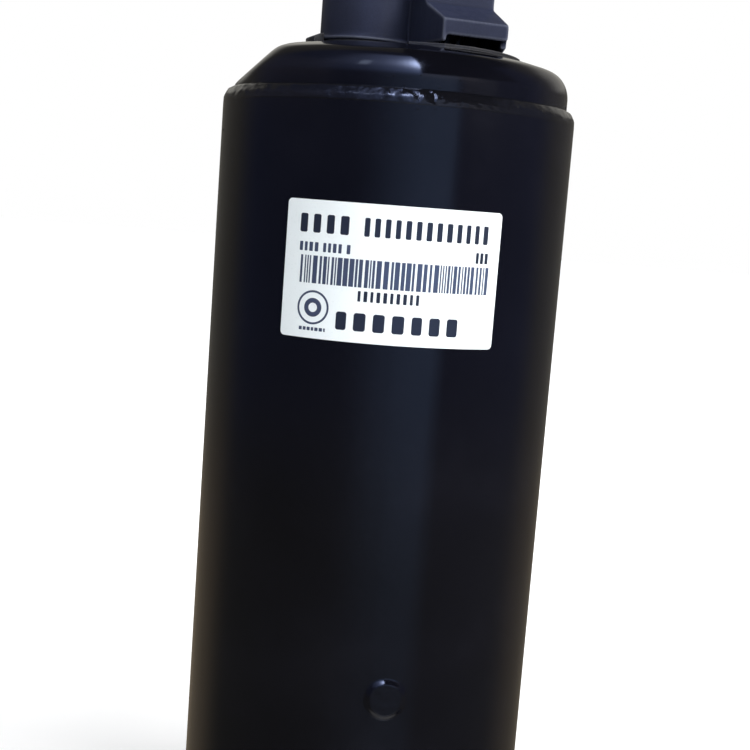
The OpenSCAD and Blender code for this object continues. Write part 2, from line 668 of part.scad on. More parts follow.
module flanged_bolt(shank_z, shank_h, hex_z, flange_z) union() {
  translate([0,0,shank_z]) cylinder(r=2.5, h=shank_h);
  translate([0,0,hex_z]) cylinder(r=4.6, h=4, $fn=6);
  translate([0,0,flange_z]) cylinder(r=4.9, h=0.5);
}
module upper_pump_bolts() color(steel) at_bolts(upper_bolt_az)
  flanged_bolt(cyl_top-15, flange_top+2-cyl_top+15, flange_top+1.05, flange_top+1.04);
module lower_pump_bolts() color(steel) at_bolts(lower_bolt_az)
  flanged_bolt(cyl_bottom-10, 23, cyl_bottom-13.2, cyl_bottom-9.55);

module discharge_valve_reed() color(steel) valve_frame() translate([0,0,reed_z+0.01])
  difference() {
    reed_t = 0.4;
    union() {
      cylinder(r=5.2, h=reed_t);
      place(reed_root) cylinder(r=5.2, h=reed_t);
      linear_extrude(reed_t) polygon([[-3.6,0], [3.6,0], [4.8,-24], [-2.4,-24]]);
    }
    place(reed_root, -1) cylinder(r=1.85, h=3);
  }
// arm over the reed, rising towards the port
module valve_retainer() color(steel) valve_frame() difference() {
  arm_t = 1.2;
  // [distance along the arm, z] of its underside
  under = [[-4,flange_top-4.08], [0,flange_top-4.08], [10,flange_top-3.3], [23,flange_top-1.7]];
  union() {
    place(reed_root, flange_top-4.08) cylinder(r=5.2, h=arm_t);
    translate([1.1,-20,0]) rotate([90,0,90]) translate([0,0,-4.2]) linear_extrude(8.4)
      polygon(concat(under, [for(i=[3:-1:0]) under[i]+[0,arm_t]]));
  }
  place(reed_root, cyl_top) cylinder(r=1.85, h=30);
}
module valve_rivet() color(steel) valve_frame() place(reed_root) union() {
  translate([0,0,cyl_top+1]) cylinder(r=1.8, h=flange_top-cyl_top-2);
  translate([0,0,flange_top-2.86]) cylinder(r=3, h=1.5);
}
// sheet cup over the main bearing with two holes in its top
module discharge_muffler() color("gray") difference() {
  rotate_extrude() polygon([
    [17.1,118.5], [19.2,118.5], [20.6,119.5], [28.6,119.5], [31,117.2], [31.4,flange_top+1],
    [42.5,flange_top+1], [42.5,flange_top+gap], [30.5,flange_top+gap], [30.1,116.8],
    [28.2,118.5], [20.9,118.5], [19.5,117.5], [17.1,117.5]]);
  at_bolts(upper_bolt_az, flange_top-2) cylinder(r=2.75, h=20);
  for(a=[20,200]) polar(a, 24.6, 110) cylinder(r=3, h=20);
}
module vane_timing_pin() color(steel) polar(vane_az, ecc/2, rotor_z1-8.9) cylinder(r=1.5, h=11.8);

main_shell();
upper_cap();
lower_cap();
upper_seam_weld();
lower_seam_weld();
plug_welds();
mounting_base();
foot_grommets();
grommet_sleeves();
discharge_tube();
discharge_collar();
terminal_body();
terminal_glass();
terminal_pins();
cover_stud();
overload_protector();
protector_clip();
terminal_gasket();
terminal_cover();
cover_washer();
cover_nut();
earth_screw();
rating_label();
accumulator_shell();
accumulator_inlet_tube();
accumulator_standpipe();
accumulator_screen();
accumulator_baffle();
suction_elbow();
suction_adapter();
accumulator_bracket();
accumulator_strap();
strap_screw();
stator_core();
stator_winding();
motor_leads();
lead_connector();
rotor_core();
rotor_end_rings();
rotor_rivets();
upper_balance_weight();
lower_balance_weight();
crankshaft();
oil_paddle();
cylinder_block();
main_bearing();
lower_bearing();
roller();
vane();
vane_spring();
upper_pump_bolts();
lower_pump_bolts();
discharge_valve_reed();
valve_retainer();
valve_rivet();
discharge_muffler();
vane_timing_pin();
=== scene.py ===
"""Hermetic compressor: upright casing on a base plate, accumulator behind it, terminal cover on top.

Metres, +Z up along the casing axis. The label faces the front (-Y), the accumulator stands at
the back (+Y) and +X is to the right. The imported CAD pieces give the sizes; this script adds
welds, label, softened mouldings, materials and the studio.
"""
import bpy, bmesh, json, math, random
from mathutils import Vector, Matrix, noise


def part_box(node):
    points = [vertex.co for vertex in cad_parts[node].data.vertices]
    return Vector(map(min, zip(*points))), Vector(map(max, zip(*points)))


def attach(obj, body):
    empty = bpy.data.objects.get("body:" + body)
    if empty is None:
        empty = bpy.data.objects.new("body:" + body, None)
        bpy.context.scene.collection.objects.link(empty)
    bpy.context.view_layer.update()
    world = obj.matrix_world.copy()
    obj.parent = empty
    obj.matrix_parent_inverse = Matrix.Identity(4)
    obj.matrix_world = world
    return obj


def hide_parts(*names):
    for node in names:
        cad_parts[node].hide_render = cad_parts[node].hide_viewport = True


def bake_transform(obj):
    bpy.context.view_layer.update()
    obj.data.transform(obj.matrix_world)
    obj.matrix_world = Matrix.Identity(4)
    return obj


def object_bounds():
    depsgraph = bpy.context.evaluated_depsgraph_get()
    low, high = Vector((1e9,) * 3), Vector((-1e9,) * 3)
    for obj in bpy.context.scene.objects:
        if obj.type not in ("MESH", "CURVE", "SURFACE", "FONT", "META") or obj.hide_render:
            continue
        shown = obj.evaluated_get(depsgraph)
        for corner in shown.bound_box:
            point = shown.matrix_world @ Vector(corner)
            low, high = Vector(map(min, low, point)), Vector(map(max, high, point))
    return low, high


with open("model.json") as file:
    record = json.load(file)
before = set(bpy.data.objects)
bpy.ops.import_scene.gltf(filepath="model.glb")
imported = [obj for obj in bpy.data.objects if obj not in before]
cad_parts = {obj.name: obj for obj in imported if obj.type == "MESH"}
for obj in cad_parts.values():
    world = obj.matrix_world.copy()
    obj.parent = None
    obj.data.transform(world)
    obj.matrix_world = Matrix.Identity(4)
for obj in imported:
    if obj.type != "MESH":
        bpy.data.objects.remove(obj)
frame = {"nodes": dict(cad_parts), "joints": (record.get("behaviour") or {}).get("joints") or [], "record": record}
cad_box = [list(v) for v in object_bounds()]
NODES = frame["nodes"]
MM = 0.001
TAU = 2 * math.pi
MERGE = 2e-6                                   # joins the split vertices of the CAD meshes


def middle(node):
    """Centre of a CAD piece's box."""
    return [(a + b) / 2 for a, b in zip(*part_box(node))]


# ---------------------------------------------------------------- driving sizes
SHELL_LO, SHELL_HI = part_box("main_shell")
CASING_R = (SHELL_HI.x - SHELL_LO.x) / 2 + 0.01 * MM
SEAM_Z = SHELL_HI.z + 0.8 * MM                 # upper seam
CAP_LO, CAP_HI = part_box("upper_cap")
CAP_R = (CAP_HI.x - CAP_LO.x) / 2
CAP_TOP = CAP_HI.z                             # flat top of the cap
ACC_LO, ACC_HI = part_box("accumulator_shell")
ACC_X, ACC_Y, _ = middle("accumulator_shell")
TUBE_X, TUBE_Y, _ = middle("discharge_tube")
_, _, PUMP_Z = middle("suction_adapter")

scene = bpy.context.scene


# ---------------------------------------------------------------- geometry helpers
def smooth01(t):
    t = max(0.0, min(1.0, t))
    return t * t * (3 - 2 * t)


def bell(x, centre, width):
    return math.exp(-((x - centre) / width) ** 2)


def noise_at(x, y, z, shift=0.0):
    return noise.noise(Vector((x + 13.1 + shift, y - 7.7 + shift, z + 3.3 - shift)))


def ring_noise(angle, frequency, z, shift=0.0):
    """Noise that closes on itself around a circle."""
    return noise_at(math.cos(angle) * frequency, math.sin(angle) * frequency, z, shift)


def polar(radius, angle, z):
    return radius * math.cos(angle), radius * math.sin(angle), z


def link_object(name, mesh):
    ob = bpy.data.objects.new(name, mesh)
    scene.collection.objects.link(ob)
    return ob


def shade_smooth(mesh, sharp_angle=None):
    for polygon in mesh.polygons:
        polygon.use_smooth = True
    if sharp_angle:
        mesh.set_sharp_from_angle(angle=math.radians(sharp_angle))


def fix_normals(ob, merge=0.0):
    bm = bmesh.new()
    bm.from_mesh(ob.data)
    if merge:
        bmesh.ops.remove_doubles(bm, verts=bm.verts, dist=merge)
    bmesh.ops.recalc_face_normals(bm, faces=bm.faces)
    bm.to_mesh(ob.data)
    bm.free()


def mesh_object(name, verts, faces):
    mesh = bpy.data.meshes.new(name)
    mesh.from_pydata([tuple(v) for v in verts], [], faces)
    mesh.validate()
    mesh.update()
    shade_smooth(mesh)
    return link_object(name, mesh)


def apply_modifiers(ob):
    depsgraph = bpy.context.evaluated_depsgraph_get()
    mesh = bpy.data.meshes.new_from_object(ob.evaluated_get(depsgraph))
    ob.modifiers.clear()
    old = ob.data
    ob.data = mesh
    bpy.data.meshes.remove(old)


def copy_part(node, name, mesh_name, cuts=(), cut_normal=None):
    """Copy of a CAD piece with its vertices merged, sliced by planes through the cuts."""
    mesh = NODES[node].data.copy()
    mesh.name = mesh_name
    ob = link_object(name, mesh)
    bm = bmesh.new()
    bm.from_mesh(mesh)
    bmesh.ops.remove_doubles(bm, verts=bm.verts, dist=MERGE)
    for point in cuts:
        bmesh.ops.bisect_plane(bm, geom=[*bm.verts, *bm.edges, *bm.faces],
                               plane_co=point, plane_no=cut_normal, dist=1e-7)
    bm.to_mesh(mesh)
    bm.free()
    return ob


def ring_faces(rows, count, closed=False):
    """Quads over rows rings of count points; closed joins the last ring to the first."""
    faces = []
    for i in range(rows if closed else rows - 1):
        a, b = i * count, ((i + 1) % rows) * count
        for j in range(count):
            k = (j + 1) % count
            faces.append((a + j, a + k, b + k, b + j))
    return faces


def set_material(ob, material):
    ob.data.materials.clear()
    ob.data.materials.append(material)


def register(ob, material, replaces=None, body="housing"):
    """Gives a piece its material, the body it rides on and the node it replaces."""
    set_material(ob, material)
    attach(ob, body)
    if replaces:
        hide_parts(replaces)


# ---------------------------------------------------------------- shader helpers
def shade(colour, factor):
    return [c * factor for c in colour]


class Nodes:
    """Short calls that add and link nodes in one tree."""

    def __init__(self, tree):
        self.tree = tree
        tree.nodes.clear()

    def feed(self, socket, value):
        """Links a socket or sets a value; colours are given as RGB."""
        if isinstance(value, bpy.types.NodeSocket):
            self.tree.links.new(value, socket)
        elif value is not None:
            socket.default_value = (*value, 1) if socket.type == "RGBA" else value

    def add(self, kind, inputs=None, **settings):
        node = self.tree.nodes.new("ShaderNode" + kind)
        for key, value in settings.items():
            setattr(node, key, value)
        for key, value in (inputs or {}).items():
            self.feed(node.inputs[key], value)
        return node

    def math(self, operation, a, b=None):
        return self.add("Math", {0: a, 1: b}, operation=operation).outputs[0]

    def plus(self, a, b):
        return self.math("ADD", a, b)

    def times(self, first, *others):
        for other in others:
            first = self.math("MULTIPLY", first, other)
        return first

    def remap(self, x, span, to, **settings):
        """Maps the span of x onto the range to."""
        inputs = {0: x, 1: span[0], 2: span[1], 3: to[0], 4: to[1]}
        return self.add("MapRange", inputs, **settings).outputs[0]

    def scaled(self, vector, factor):
        inputs = {0: vector, "Scale": factor}
        return self.add("VectorMath", inputs, operation="SCALE").outputs[0]


class Surface(Nodes):
    """A new material around one Principled shader."""

    def __init__(self, name):
        self.material = bpy.data.materials.new(name)
        self.material.use_nodes = True
        super().__init__(self.material.node_tree)
        self.bsdf = self.add("BsdfPrincipled")
        self.output = self.add("OutputMaterial", {0: self.bsdf.outputs[0]})
        self.place = self.coords((1, 1, 1))

    def coords(self, scale):
        place = self.add("TexCoord").outputs["Object"]
        return self.add("Mapping", {"Vector": place, "Scale": scale}).outputs[0]

    def noise(self, scale, detail, rough, distortion=0.0, z_scale=None):
        """Noise in object space; z_scale below 1 draws it out along Z."""
        place = self.coords((1, 1, z_scale)) if z_scale else self.place
        return self.add("TexNoise", {"Vector": place, "Scale": scale, "Detail": detail,
                                     "Roughness": rough, "Distortion": distortion}).outputs["Fac"]

    def ramp(self, x, *stops):
        """Colour ramp through (position, RGB) stops."""
        node = self.add("ValToRGB", {0: x})
        elements = node.color_ramp.elements
        while len(elements) < len(stops):
            elements.new(0.5)
        for element, (position, colour) in zip(elements, stops):
            element.position = position
            element.color = (*colour, 1)
        return node.outputs[0]

    def mask(self, x, start, end):
        """Black up to start, white from end."""
        return self.ramp(x, (start, (0, 0, 0)), (end, (1, 1, 1)))

    def mix(self, factor, a, b, mode="MIX"):
        return self.add("Mix", {0: factor, 6: a, 7: b}, data_type="RGBA",
                        blend_type=mode).outputs[2]

    def edge_mask(self, radius):
        """1 on sharp edges, 0 on flats."""
        bevel = self.add("Bevel", {"Radius": radius}, samples=4)
        true_normal = self.add("NewGeometry").outputs["Normal"]
        dot = self.add("VectorMath", {0: bevel.outputs[0], 1: true_normal},
                       operation="DOT_PRODUCT")
        return self.remap(dot.outputs["Value"], span=(0.93, 0.998), to=(1.0, 0.0))

    def finish(self, colour, roughness, bumps=(), extra=None):
        """bumps: (height, strength, distance in metres), laid one over another."""
        normal = None
        for height, strength, distance in bumps:
            normal = self.add("Bump", {"Strength": strength, "Distance": distance,
                                       "Height": height, "Normal": normal}).outputs[0]
        values = {"Base Color": colour, "Roughness": roughness, "Normal": normal, **(extra or {})}
        for key, value in values.items():
            self.feed(self.bsdf.inputs[key], value)
        return self.material


# ---------------------------------------------------------------- materials
def enamel(name, base=(0.0030, 0.0031, 0.0052), rough=0.085, peel=0.11, streaks=True, spatter=0.0):
    """Glossy dark paint: orange peel, faint runs, dust; spatter adds raised specks."""
    s = Surface(name)
    cloud = s.noise(scale=22, detail=5, rough=0.6)
    fine = s.noise(scale=2600, detail=2, rough=0.5)
    paint = s.ramp(cloud, (0.3, shade(base, 0.72)), (0.55, base),
                   (0.78, [c * 1.5 + 0.0006 for c in base]))
    dust = s.times(s.mask(fine, 0.74, 0.80), 0.12)
    roughness = s.remap(cloud, span=(0.3, 0.75), to=(rough * 0.75, rough * 1.45))
    bumps = [(s.noise(scale=330, detail=2, rough=0.5), peel, 0.00012),
             (s.noise(scale=60, detail=2, rough=0.5), peel * 0.9, 0.00035)]
    if streaks:
        runs = s.noise(scale=130, detail=3, rough=0.6, z_scale=0.08)
        roughness = s.plus(roughness, s.remap(runs, span=(0.35, 0.7), to=(-0.02, 0.035)))
        bumps.append((runs, 0.10, 0.0002))
    bumps.append((fine, 0.05, 0.00003))
    if spatter:
        specks = s.mask(s.noise(scale=700, detail=2, rough=0.6), 0.66, 0.72)
        bumps.append((specks, spatter, 0.0003))
    return s.finish(s.mix(dust, paint, (0.07, 0.072, 0.08)), roughness, bumps,
                    {"IOR": 1.5, "Specular IOR Level": 0.5})


def moulded(name, base, rough, grain=0.25, edges=None, specular=0.5):
    """Moulded plastic with a fine grain; edges is the colour of a painted highlight along its convex edges, and
    giving it also paints shade into its creases.
    """
    s = Surface(name)
    cloud = s.noise(scale=45, detail=4, rough=0.6)
    fine = s.noise(scale=2300, detail=3, rough=0.6)
    colour = s.ramp(cloud, (0.25, shade(base, 0.8)), (0.75, shade(base, 1.18)))
    speckle = s.ramp(fine, (0.3, (0.82, 0.82, 0.82)), (0.7, (1.12, 1.12, 1.12)))
    colour = s.mix(1.0, colour, speckle, "MULTIPLY")
    if edges:
        # painted highlight on the convex edges and painted shade in the creases, both read from pointiness
        pointed = s.add("NewGeometry").outputs["Pointiness"]
        corners = s.remap(pointed, span=(0.508, 0.545), to=(0.0, 0.75))
        painted_crease_shade = s.remap(pointed, span=(0.492, 0.455), to=(0.0, 0.6))
        colour = s.mix(painted_crease_shade, s.mix(corners, colour, edges), (0.006, 0.006, 0.008))
    marks = s.noise(scale=300, detail=5, rough=0.7, z_scale=0.25)
    roughness = s.remap(marks, span=(0.3, 0.7), to=(rough - 0.07, rough + 0.1))
    shift = 0.0                                # moves the whole roughness range
    bumps = [(fine, grain, 0.00006), (s.noise(scale=90, detail=2, rough=0.5), 0.12, 0.0003)]
    return s.finish(colour, s.plus(roughness, shift), bumps,
                    {"IOR": 1.49, "Specular IOR Level": specular})


def rubber(name, base=(0.012, 0.012, 0.013), rough=0.72, rubbed=None):
    """Dark rubber with a pale bloom; rubbed is the colour of its edges."""
    s = Surface(name)
    bloom = s.noise(scale=70, detail=6, rough=0.7)
    colour = s.ramp(bloom, (0.35, base), (0.62, shade(base, 1.7)), (0.85, (0.06, 0.06, 0.058)))
    if rubbed:
        colour = s.mix(s.times(s.edge_mask(0.7 * MM), 0.8), colour, rubbed)
    roughness = s.remap(bloom, span=(0.3, 0.8), to=(rough - 0.12, rough + 0.15))
    pores = s.noise(scale=900, detail=4, rough=0.6)
    return s.finish(colour, roughness, [(pores, 0.3, 0.00012), (bloom, 0.15, 0.0003)])


def metal(name, base, rough, grain, stain, stained, z_scale=1, edge=None, bump=0.15):
    """Bare or plated metal: brushing of scale grain, blotches of stain, brighter rubbed edges."""
    s = Surface(name)
    brush = s.noise(scale=grain, detail=4, rough=0.65, z_scale=z_scale)
    blot = s.noise(scale=60, detail=6, rough=0.65, distortion=0.4)
    colour = s.ramp(brush, (0.3, shade(base, 0.82)), (0.7, [min(1, c * 1.12) for c in base]))
    colour = s.mix(s.times(s.mask(blot, 0.48, 0.72), stained), colour, stain)
    if edge:
        colour = s.mix(s.times(s.edge_mask(0.6 * MM), 0.6), colour, edge)
    roughness = s.plus(s.remap(brush, span=(0.3, 0.7), to=(rough - 0.06, rough + 0.08)),
                       s.remap(blot, span=(0.45, 0.75), to=(0.0, 0.18)))
    return s.finish(colour, roughness, [(brush, bump, 0.00005), (blot, 0.12, 0.0002)],
                    {"Metallic": 1.0})


def laminated(name, base=(0.22, 0.225, 0.235), sheet=0.5 * MM):
    """Stacked electrical-steel sheets with scattered rust."""
    s = Surface(name)
    place = s.add("SeparateXYZ", {0: s.add("TexCoord").outputs["Object"]})
    line = s.math("SINE", s.times(place.outputs[2], TAU / sheet))
    blot = s.noise(scale=90, detail=5, rough=0.65)
    steel = s.ramp(s.remap(line, span=(-1, 1), to=(0, 1)),
                   (0.1, shade(base, 0.35)), (0.5, base), (0.9, shade(base, 1.25)))
    rust = s.times(s.mask(blot, 0.55, 0.75), 0.35)
    return s.finish(s.mix(rust, steel, (0.13, 0.055, 0.02)),
                    s.remap(blot, span=(0.3, 0.7), to=(0.35, 0.6)),
                    [(line, 0.35, 0.00012), (blot, 0.1, 0.0002)], {"Metallic": 0.85})


def winding(name):
    """Enamelled copper wire laid in turns, under varnish."""
    s = Surface(name)
    turns = s.add("TexWave", {"Scale": 230, "Distortion": 2.2, "Detail": 2, "Detail Scale": 1.5,
                              "Vector": s.place},
                  wave_type="RINGS", rings_direction="Z").outputs["Fac"]
    blot = s.noise(scale=120, detail=5, rough=0.6)
    copper = s.ramp(turns, (0.0, (0.07, 0.018, 0.006)), (0.5, (0.42, 0.13, 0.045)),
                    (1.0, (0.72, 0.3, 0.12)))
    dull = s.remap(blot, span=(0.4, 0.8), to=(0, 0.5))
    return s.finish(s.mix(dull, copper, (0.16, 0.05, 0.02)),
                    s.remap(blot, span=(0.3, 0.7), to=(0.25, 0.5)),
                    [(turns, 0.6, 0.0003)], {"Metallic": 0.6, "Coat Weight": 0.6})


def film(name, base, rough=0.3):
    """Printed label stock: slight mottling, fine emboss, soft sheen."""
    s = Surface(name)
    cloud = s.noise(scale=60, detail=4, rough=0.6)
    fine = s.noise(scale=1800, detail=3, rough=0.6)
    return s.finish(s.ramp(cloud, (0.3, shade(base, 0.965)), (0.7, base)),
                    s.remap(fine, span=(0.3, 0.7), to=(rough - 0.05, rough + 0.08)),
                    [(fine, 0.05, 0.00003), (cloud, 0.06, 0.0002)])


def glass(name):
    """Dark green sealing glass."""
    s = Surface(name)
    cloud = s.noise(scale=500, detail=4, rough=0.6, distortion=0.5)
    return s.finish(s.ramp(cloud, (0.3, (0.012, 0.07, 0.065)), (0.7, (0.03, 0.14, 0.12))),
                    s.remap(cloud, span=(0.3, 0.7), to=(0.05, 0.16)),
                    [(cloud, 0.15, 0.0001)], {"Coat Weight": 0.4})


def painted_copper(name):
    """Copper under black paint that is worn through in patches."""
    s = Surface(name)
    blot = s.noise(scale=55, detail=6, rough=0.65, distortion=0.3)
    fine = s.noise(scale=420, detail=3, rough=0.6)
    worn = s.mask(s.plus(blot, s.times(fine, 0.25)), 0.76, 0.80)
    peel = s.noise(scale=330, detail=2, rough=0.5)
    return s.finish(s.mix(worn, (0.0055, 0.0058, 0.008), (0.6, 0.25, 0.13)),
                    s.remap(blot, span=(0.3, 0.7), to=(0.14, 0.3)),
                    [(worn, -0.3, 0.0001), (peel, 0.18, 0.00012), (blot, 0.15, 0.0003)],
                    {"Metallic": worn})


MATERIALS = {
    "black_enamel": enamel("enamel_black"),
    "weld_enamel": enamel("enamel_over_weld", base=(0.0042, 0.0043, 0.0060), rough=0.12,
                          peel=0.3, streaks=False, spatter=0.3),
    "base_paint": enamel("paint_base_plate", base=(0.009, 0.009, 0.0105), rough=0.3, peel=0.3),
    "grommet_rubber": rubber("rubber_grommet"),
    "gasket_rubber": rubber("rubber_gasket", base=(0.011, 0.011, 0.012), rough=0.55,
                            rubbed=(0.075, 0.074, 0.078)),
    "zinc_steel": metal("steel_zinc_plated", (0.55, 0.55, 0.53), rough=0.32, grain=700,
                        stain=(0.4, 0.36, 0.26), stained=0.25, z_scale=0.2, edge=(0.8, 0.8, 0.8)),
    "bare_steel": metal("steel_bare", (0.46, 0.45, 0.44), rough=0.36, grain=800,
                        stain=(0.2, 0.1, 0.05), stained=0.22, z_scale=0.15, edge=(0.7, 0.7, 0.7)),
    "ground_steel": metal("steel_ground", (0.58, 0.585, 0.6), rough=0.17, grain=1600,
                          stain=(0.35, 0.33, 0.3), stained=0.15, z_scale=0.06),
    "copper_tube": metal("copper_tube", (0.80, 0.36, 0.20), rough=0.25, grain=500,
                         stain=(0.28, 0.10, 0.05), stained=0.55, z_scale=0.1,
                         edge=(0.95, 0.55, 0.38)),
    "brass_fastener": metal("brass_screw", (0.78, 0.56, 0.22), rough=0.25, grain=700,
                            stain=(0.3, 0.2, 0.08), stained=0.35, edge=(0.95, 0.78, 0.45)),
    "copper_winding": winding("copper_winding"),
    # edges: colour of the painted highlight on the cover's convex edges, with painted shade in its creases
    "cover_plastic": moulded("plastic_cover", (0.023, 0.027, 0.049), rough=0.47, grain=0.2,
                             edges=(0.10, 0.11, 0.15), specular=0.2),
    "protector_plastic": moulded("phenolic_protector", (0.03, 0.016, 0.010), rough=0.3,
                                 grain=0.15),
    "connector_plastic": moulded("nylon_connector", (0.02, 0.02, 0.021), rough=0.45),
    "lead_insulation": moulded("lead_sleeving", (0.62, 0.58, 0.5), rough=0.55, grain=0.4),
    "terminal_glass": glass("glass_seal"),
    "label_film": film("label_film", (0.885, 0.955, 0.985)),
    "electrical_steel": laminated("laminations"),
    "cast_aluminium": metal("aluminium_cast", (0.7, 0.71, 0.72), rough=0.4, grain=260,
                            stain=(0.45, 0.45, 0.46), stained=0.4, bump=0.4),
    "pump_iron": metal("iron_machined", (0.22, 0.22, 0.225), rough=0.34, grain=900,
                       stain=(0.1, 0.085, 0.07), stained=0.4, z_scale=0.1, bump=0.25),
    "balance_brass": metal("brass_balance", (0.66, 0.47, 0.2), rough=0.33, grain=500,
                           stain=(0.35, 0.22, 0.08), stained=0.35, z_scale=0.2),
}
INK = film("label_ink", (0.015, 0.021, 0.04), rough=0.35)
INK_LIGHT = film("label_ink_light", (0.048, 0.066, 0.125), rough=0.35)
BRAZE = metal("brazing_alloy", (0.52, 0.40, 0.24), rough=0.38, grain=420,
              stain=(0.16, 0.10, 0.06), stained=0.6, bump=0.5)
PAINTED_COPPER = painted_copper("copper_painted")
WELD_ENAMEL = MATERIALS["weld_enamel"]

SLOT_OF = {s["node"]: s["material_slot"] for s in frame["record"]["subparts"]}
for node_name, part in NODES.items():
    material = PAINTED_COPPER if node_name == "suction_elbow" else MATERIALS[SLOT_OF[node_name]]
    for material_slot in part.material_slots:
        material_slot.link = "OBJECT"
        material_slot.material = material

# Bevels on the CAD parts: node, width in mm, least edge angle in degrees
BEVELS = (
    ("mounting_base", 0.5, 35), ("foot_grommets", 0.35, 35), ("grommet_sleeves", 0.15, 40),
    ("discharge_tube", 0.12, 40), ("discharge_collar", 0.3, 40), ("cover_washer", 0.12, 40),
    ("cover_nut", 0.25, 40), ("earth_screw", 0.25, 40), ("accumulator_inlet_tube", 0.12, 40),
    ("suction_adapter", 0.35, 40), ("accumulator_bracket", 0.35, 40),
    ("accumulator_strap", 0.2, 40), ("strap_screw", 0.2, 40), ("overload_protector", 0.3, 40),
    ("protector_clip", 0.15, 40), ("cover_stud", 0.2, 40), ("terminal_body", 0.25, 40),
    ("terminal_pins", 0.12, 40), ("terminal_gasket", 0.25, 40),
)
for node_name, width, least_angle in BEVELS:
    part = NODES[node_name]
    part.modifiers.new("weld", "WELD").merge_threshold = MERGE
    bevel = part.modifiers.new("bevel", "BEVEL")
    bevel.width = width * MM
    bevel.segments = 2
    bevel.limit_method = "ANGLE"
    bevel.angle_limit = math.radians(least_angle)
    bevel.use_clamp_overlap = True

# ---------------------------------------------------------------- upper cap
CAP_SEGMENTS = 320
CAP_WALL = 3 * MM
CAP_RIM_Z = SEAM_Z - 9.9 * MM
SHOULDER_Z = SEAM_Z + 5.142 * MM               # top of the upright wall
SHOULDER_R, SHOULDER_H = 6.8 * MM, 8.3 * MM    # half-axes of the shoulder ellipse
CROWN_SLOPE = math.radians(14.9)
# ellipse parameter at which the shoulder meets the crown slope
SHOULDER_END = math.atan(SHOULDER_H / SHOULDER_R * math.tan(math.pi / 2 - CROWN_SLOPE))
CROWN_BLEND = 0.35 * MM                        # rounding between slope and flat top

# flat pressed into the left-hand side
FLAT_AZIMUTH, FLAT_TILT = math.radians(192), math.radians(45.5)
FLAT_NORMAL = Vector(polar(math.sin(FLAT_TILT), FLAT_AZIMUTH, math.cos(FLAT_TILT)))
FLAT_POINT = Vector(polar(CAP_R, FLAT_AZIMUTH, SEAM_Z + 2.4 * MM))
FLAT_BLEND = 0.7 * MM

TERMINAL_HOLE_R = 12.05 * MM
COLLAR_HOLE_R = 7.55 * MM


def cap_profile(inset):
    """(radius, height) points from the rim up to the axis, inset from the outer skin."""
    wall_height = SHOULDER_Z - CAP_RIM_Z
    points = [(CAP_R - inset, CAP_RIM_Z + wall_height * i / 12) for i in range(13)]
    for i in range(1, 19):
        angle = SHOULDER_END * i / 18
        points.append((CAP_R - SHOULDER_R + (SHOULDER_R - inset) * math.cos(angle),
                       SHOULDER_Z + (SHOULDER_H - inset) * math.sin(angle)))
    edge_r, edge_z = points[-1]
    top = CAP_TOP - inset
    for i in range(1, 15):
        radius = edge_r * (1 - i / 14)
        z = edge_z + (edge_r - radius) * math.tan(CROWN_SLOPE)
        # soft minimum of the slope and the flat top
        points.append((radius, top - CROWN_BLEND * math.log1p(math.exp((top - z) / CROWN_BLEND))))
    return points


def cap_skin(inset):
    """Rings of one skin, pushed in behind the flat."""
    rings = []
    for radius, z in cap_profile(inset):
        ring = []
        for j in range(CAP_SEGMENTS):
            angle = TAU * j / CAP_SEGMENTS
            wobble = 0.04 * MM * ring_noise(angle, 1.3, z * 60)
            point = Vector(polar(radius + wobble, angle, z))
            depth = FLAT_NORMAL.dot(point - FLAT_POINT) + inset
            if depth > -8 * FLAT_BLEND and z > SEAM_Z:
                ratio = depth / FLAT_BLEND
                push = FLAT_BLEND * math.log(1 + math.exp(ratio)) if ratio < 40 else depth
                push *= smooth01((z - SEAM_Z) / (1.2 * MM))
                point = point - FLAT_NORMAL * push
            ring.append(point)
        rings.append(ring)
    return rings


def cut_holes(ob, holes):
    """Cuts (x, y, radius) holes through the flat top."""
    cutters = []
    for x, y, radius in holes:
        bm = bmesh.new()
        bmesh.ops.create_cone(bm, cap_ends=True, segments=96, radius1=radius, radius2=radius,
                              depth=20 * MM, matrix=Matrix.Translation((x, y, CAP_TOP)))
        mesh = bpy.data.meshes.new("cutter")
        bm.to_mesh(mesh)
        bm.free()
        cutter = link_object("cutter", mesh)
        cut = ob.modifiers.new("cut", "BOOLEAN")
        cut.operation = "DIFFERENCE"
        cut.solver = "EXACT"
        cut.object = cutter
        cutters.append(cutter)
    apply_modifiers(ob)
    for cutter in cutters:
        bpy.data.objects.remove(cutter, do_unlink=True)


def build_cap():
    n = CAP_SEGMENTS
    verts, faces = [], []
    for inset in (0.0, CAP_WALL):
        rings = cap_skin(inset)
        base = len(verts)
        for ring in rings[:-1]:
            verts += ring
        centre = len(verts)
        verts.append(sum(rings[-1], Vector()) / n)
        last = centre - n
        skin = [tuple(base + i for i in face) for face in ring_faces(len(rings) - 1, n)]
        skin += [(last + j, last + (j + 1) % n, centre) for j in range(n)]
        faces += [face[::-1] for face in skin] if inset else skin
    for j in range(n):                         # rim; base is now the first inner vertex
        k = (j + 1) % n
        faces.append((k, j, base + j, base + k))
    ob = mesh_object("casing_upper_cap", verts, faces)
    fix_normals(ob)
    terminal_x, terminal_y, _ = middle("terminal_body")
    cut_holes(ob, ((terminal_x, terminal_y, TERMINAL_HOLE_R), (TUBE_X, TUBE_Y, COLLAR_HOLE_R)))
    shade_smooth(ob.data, sharp_angle=38)
    register(ob, MATERIALS["black_enamel"], replaces="upper_cap")


build_cap()

# ---------------------------------------------------------------- seam weld beads
BEAD_SEGMENTS = 1500
BEAD_PITCH = 2.1 * MM                          # spacing of the overlapping scales
BEAD_DRIFTS = 48                               # random phase shifts around the seam
ROUGH_AZIMUTH, ROUGH_SPREAD = 279.0, 26.0      # degrees: rougher stretch near the front


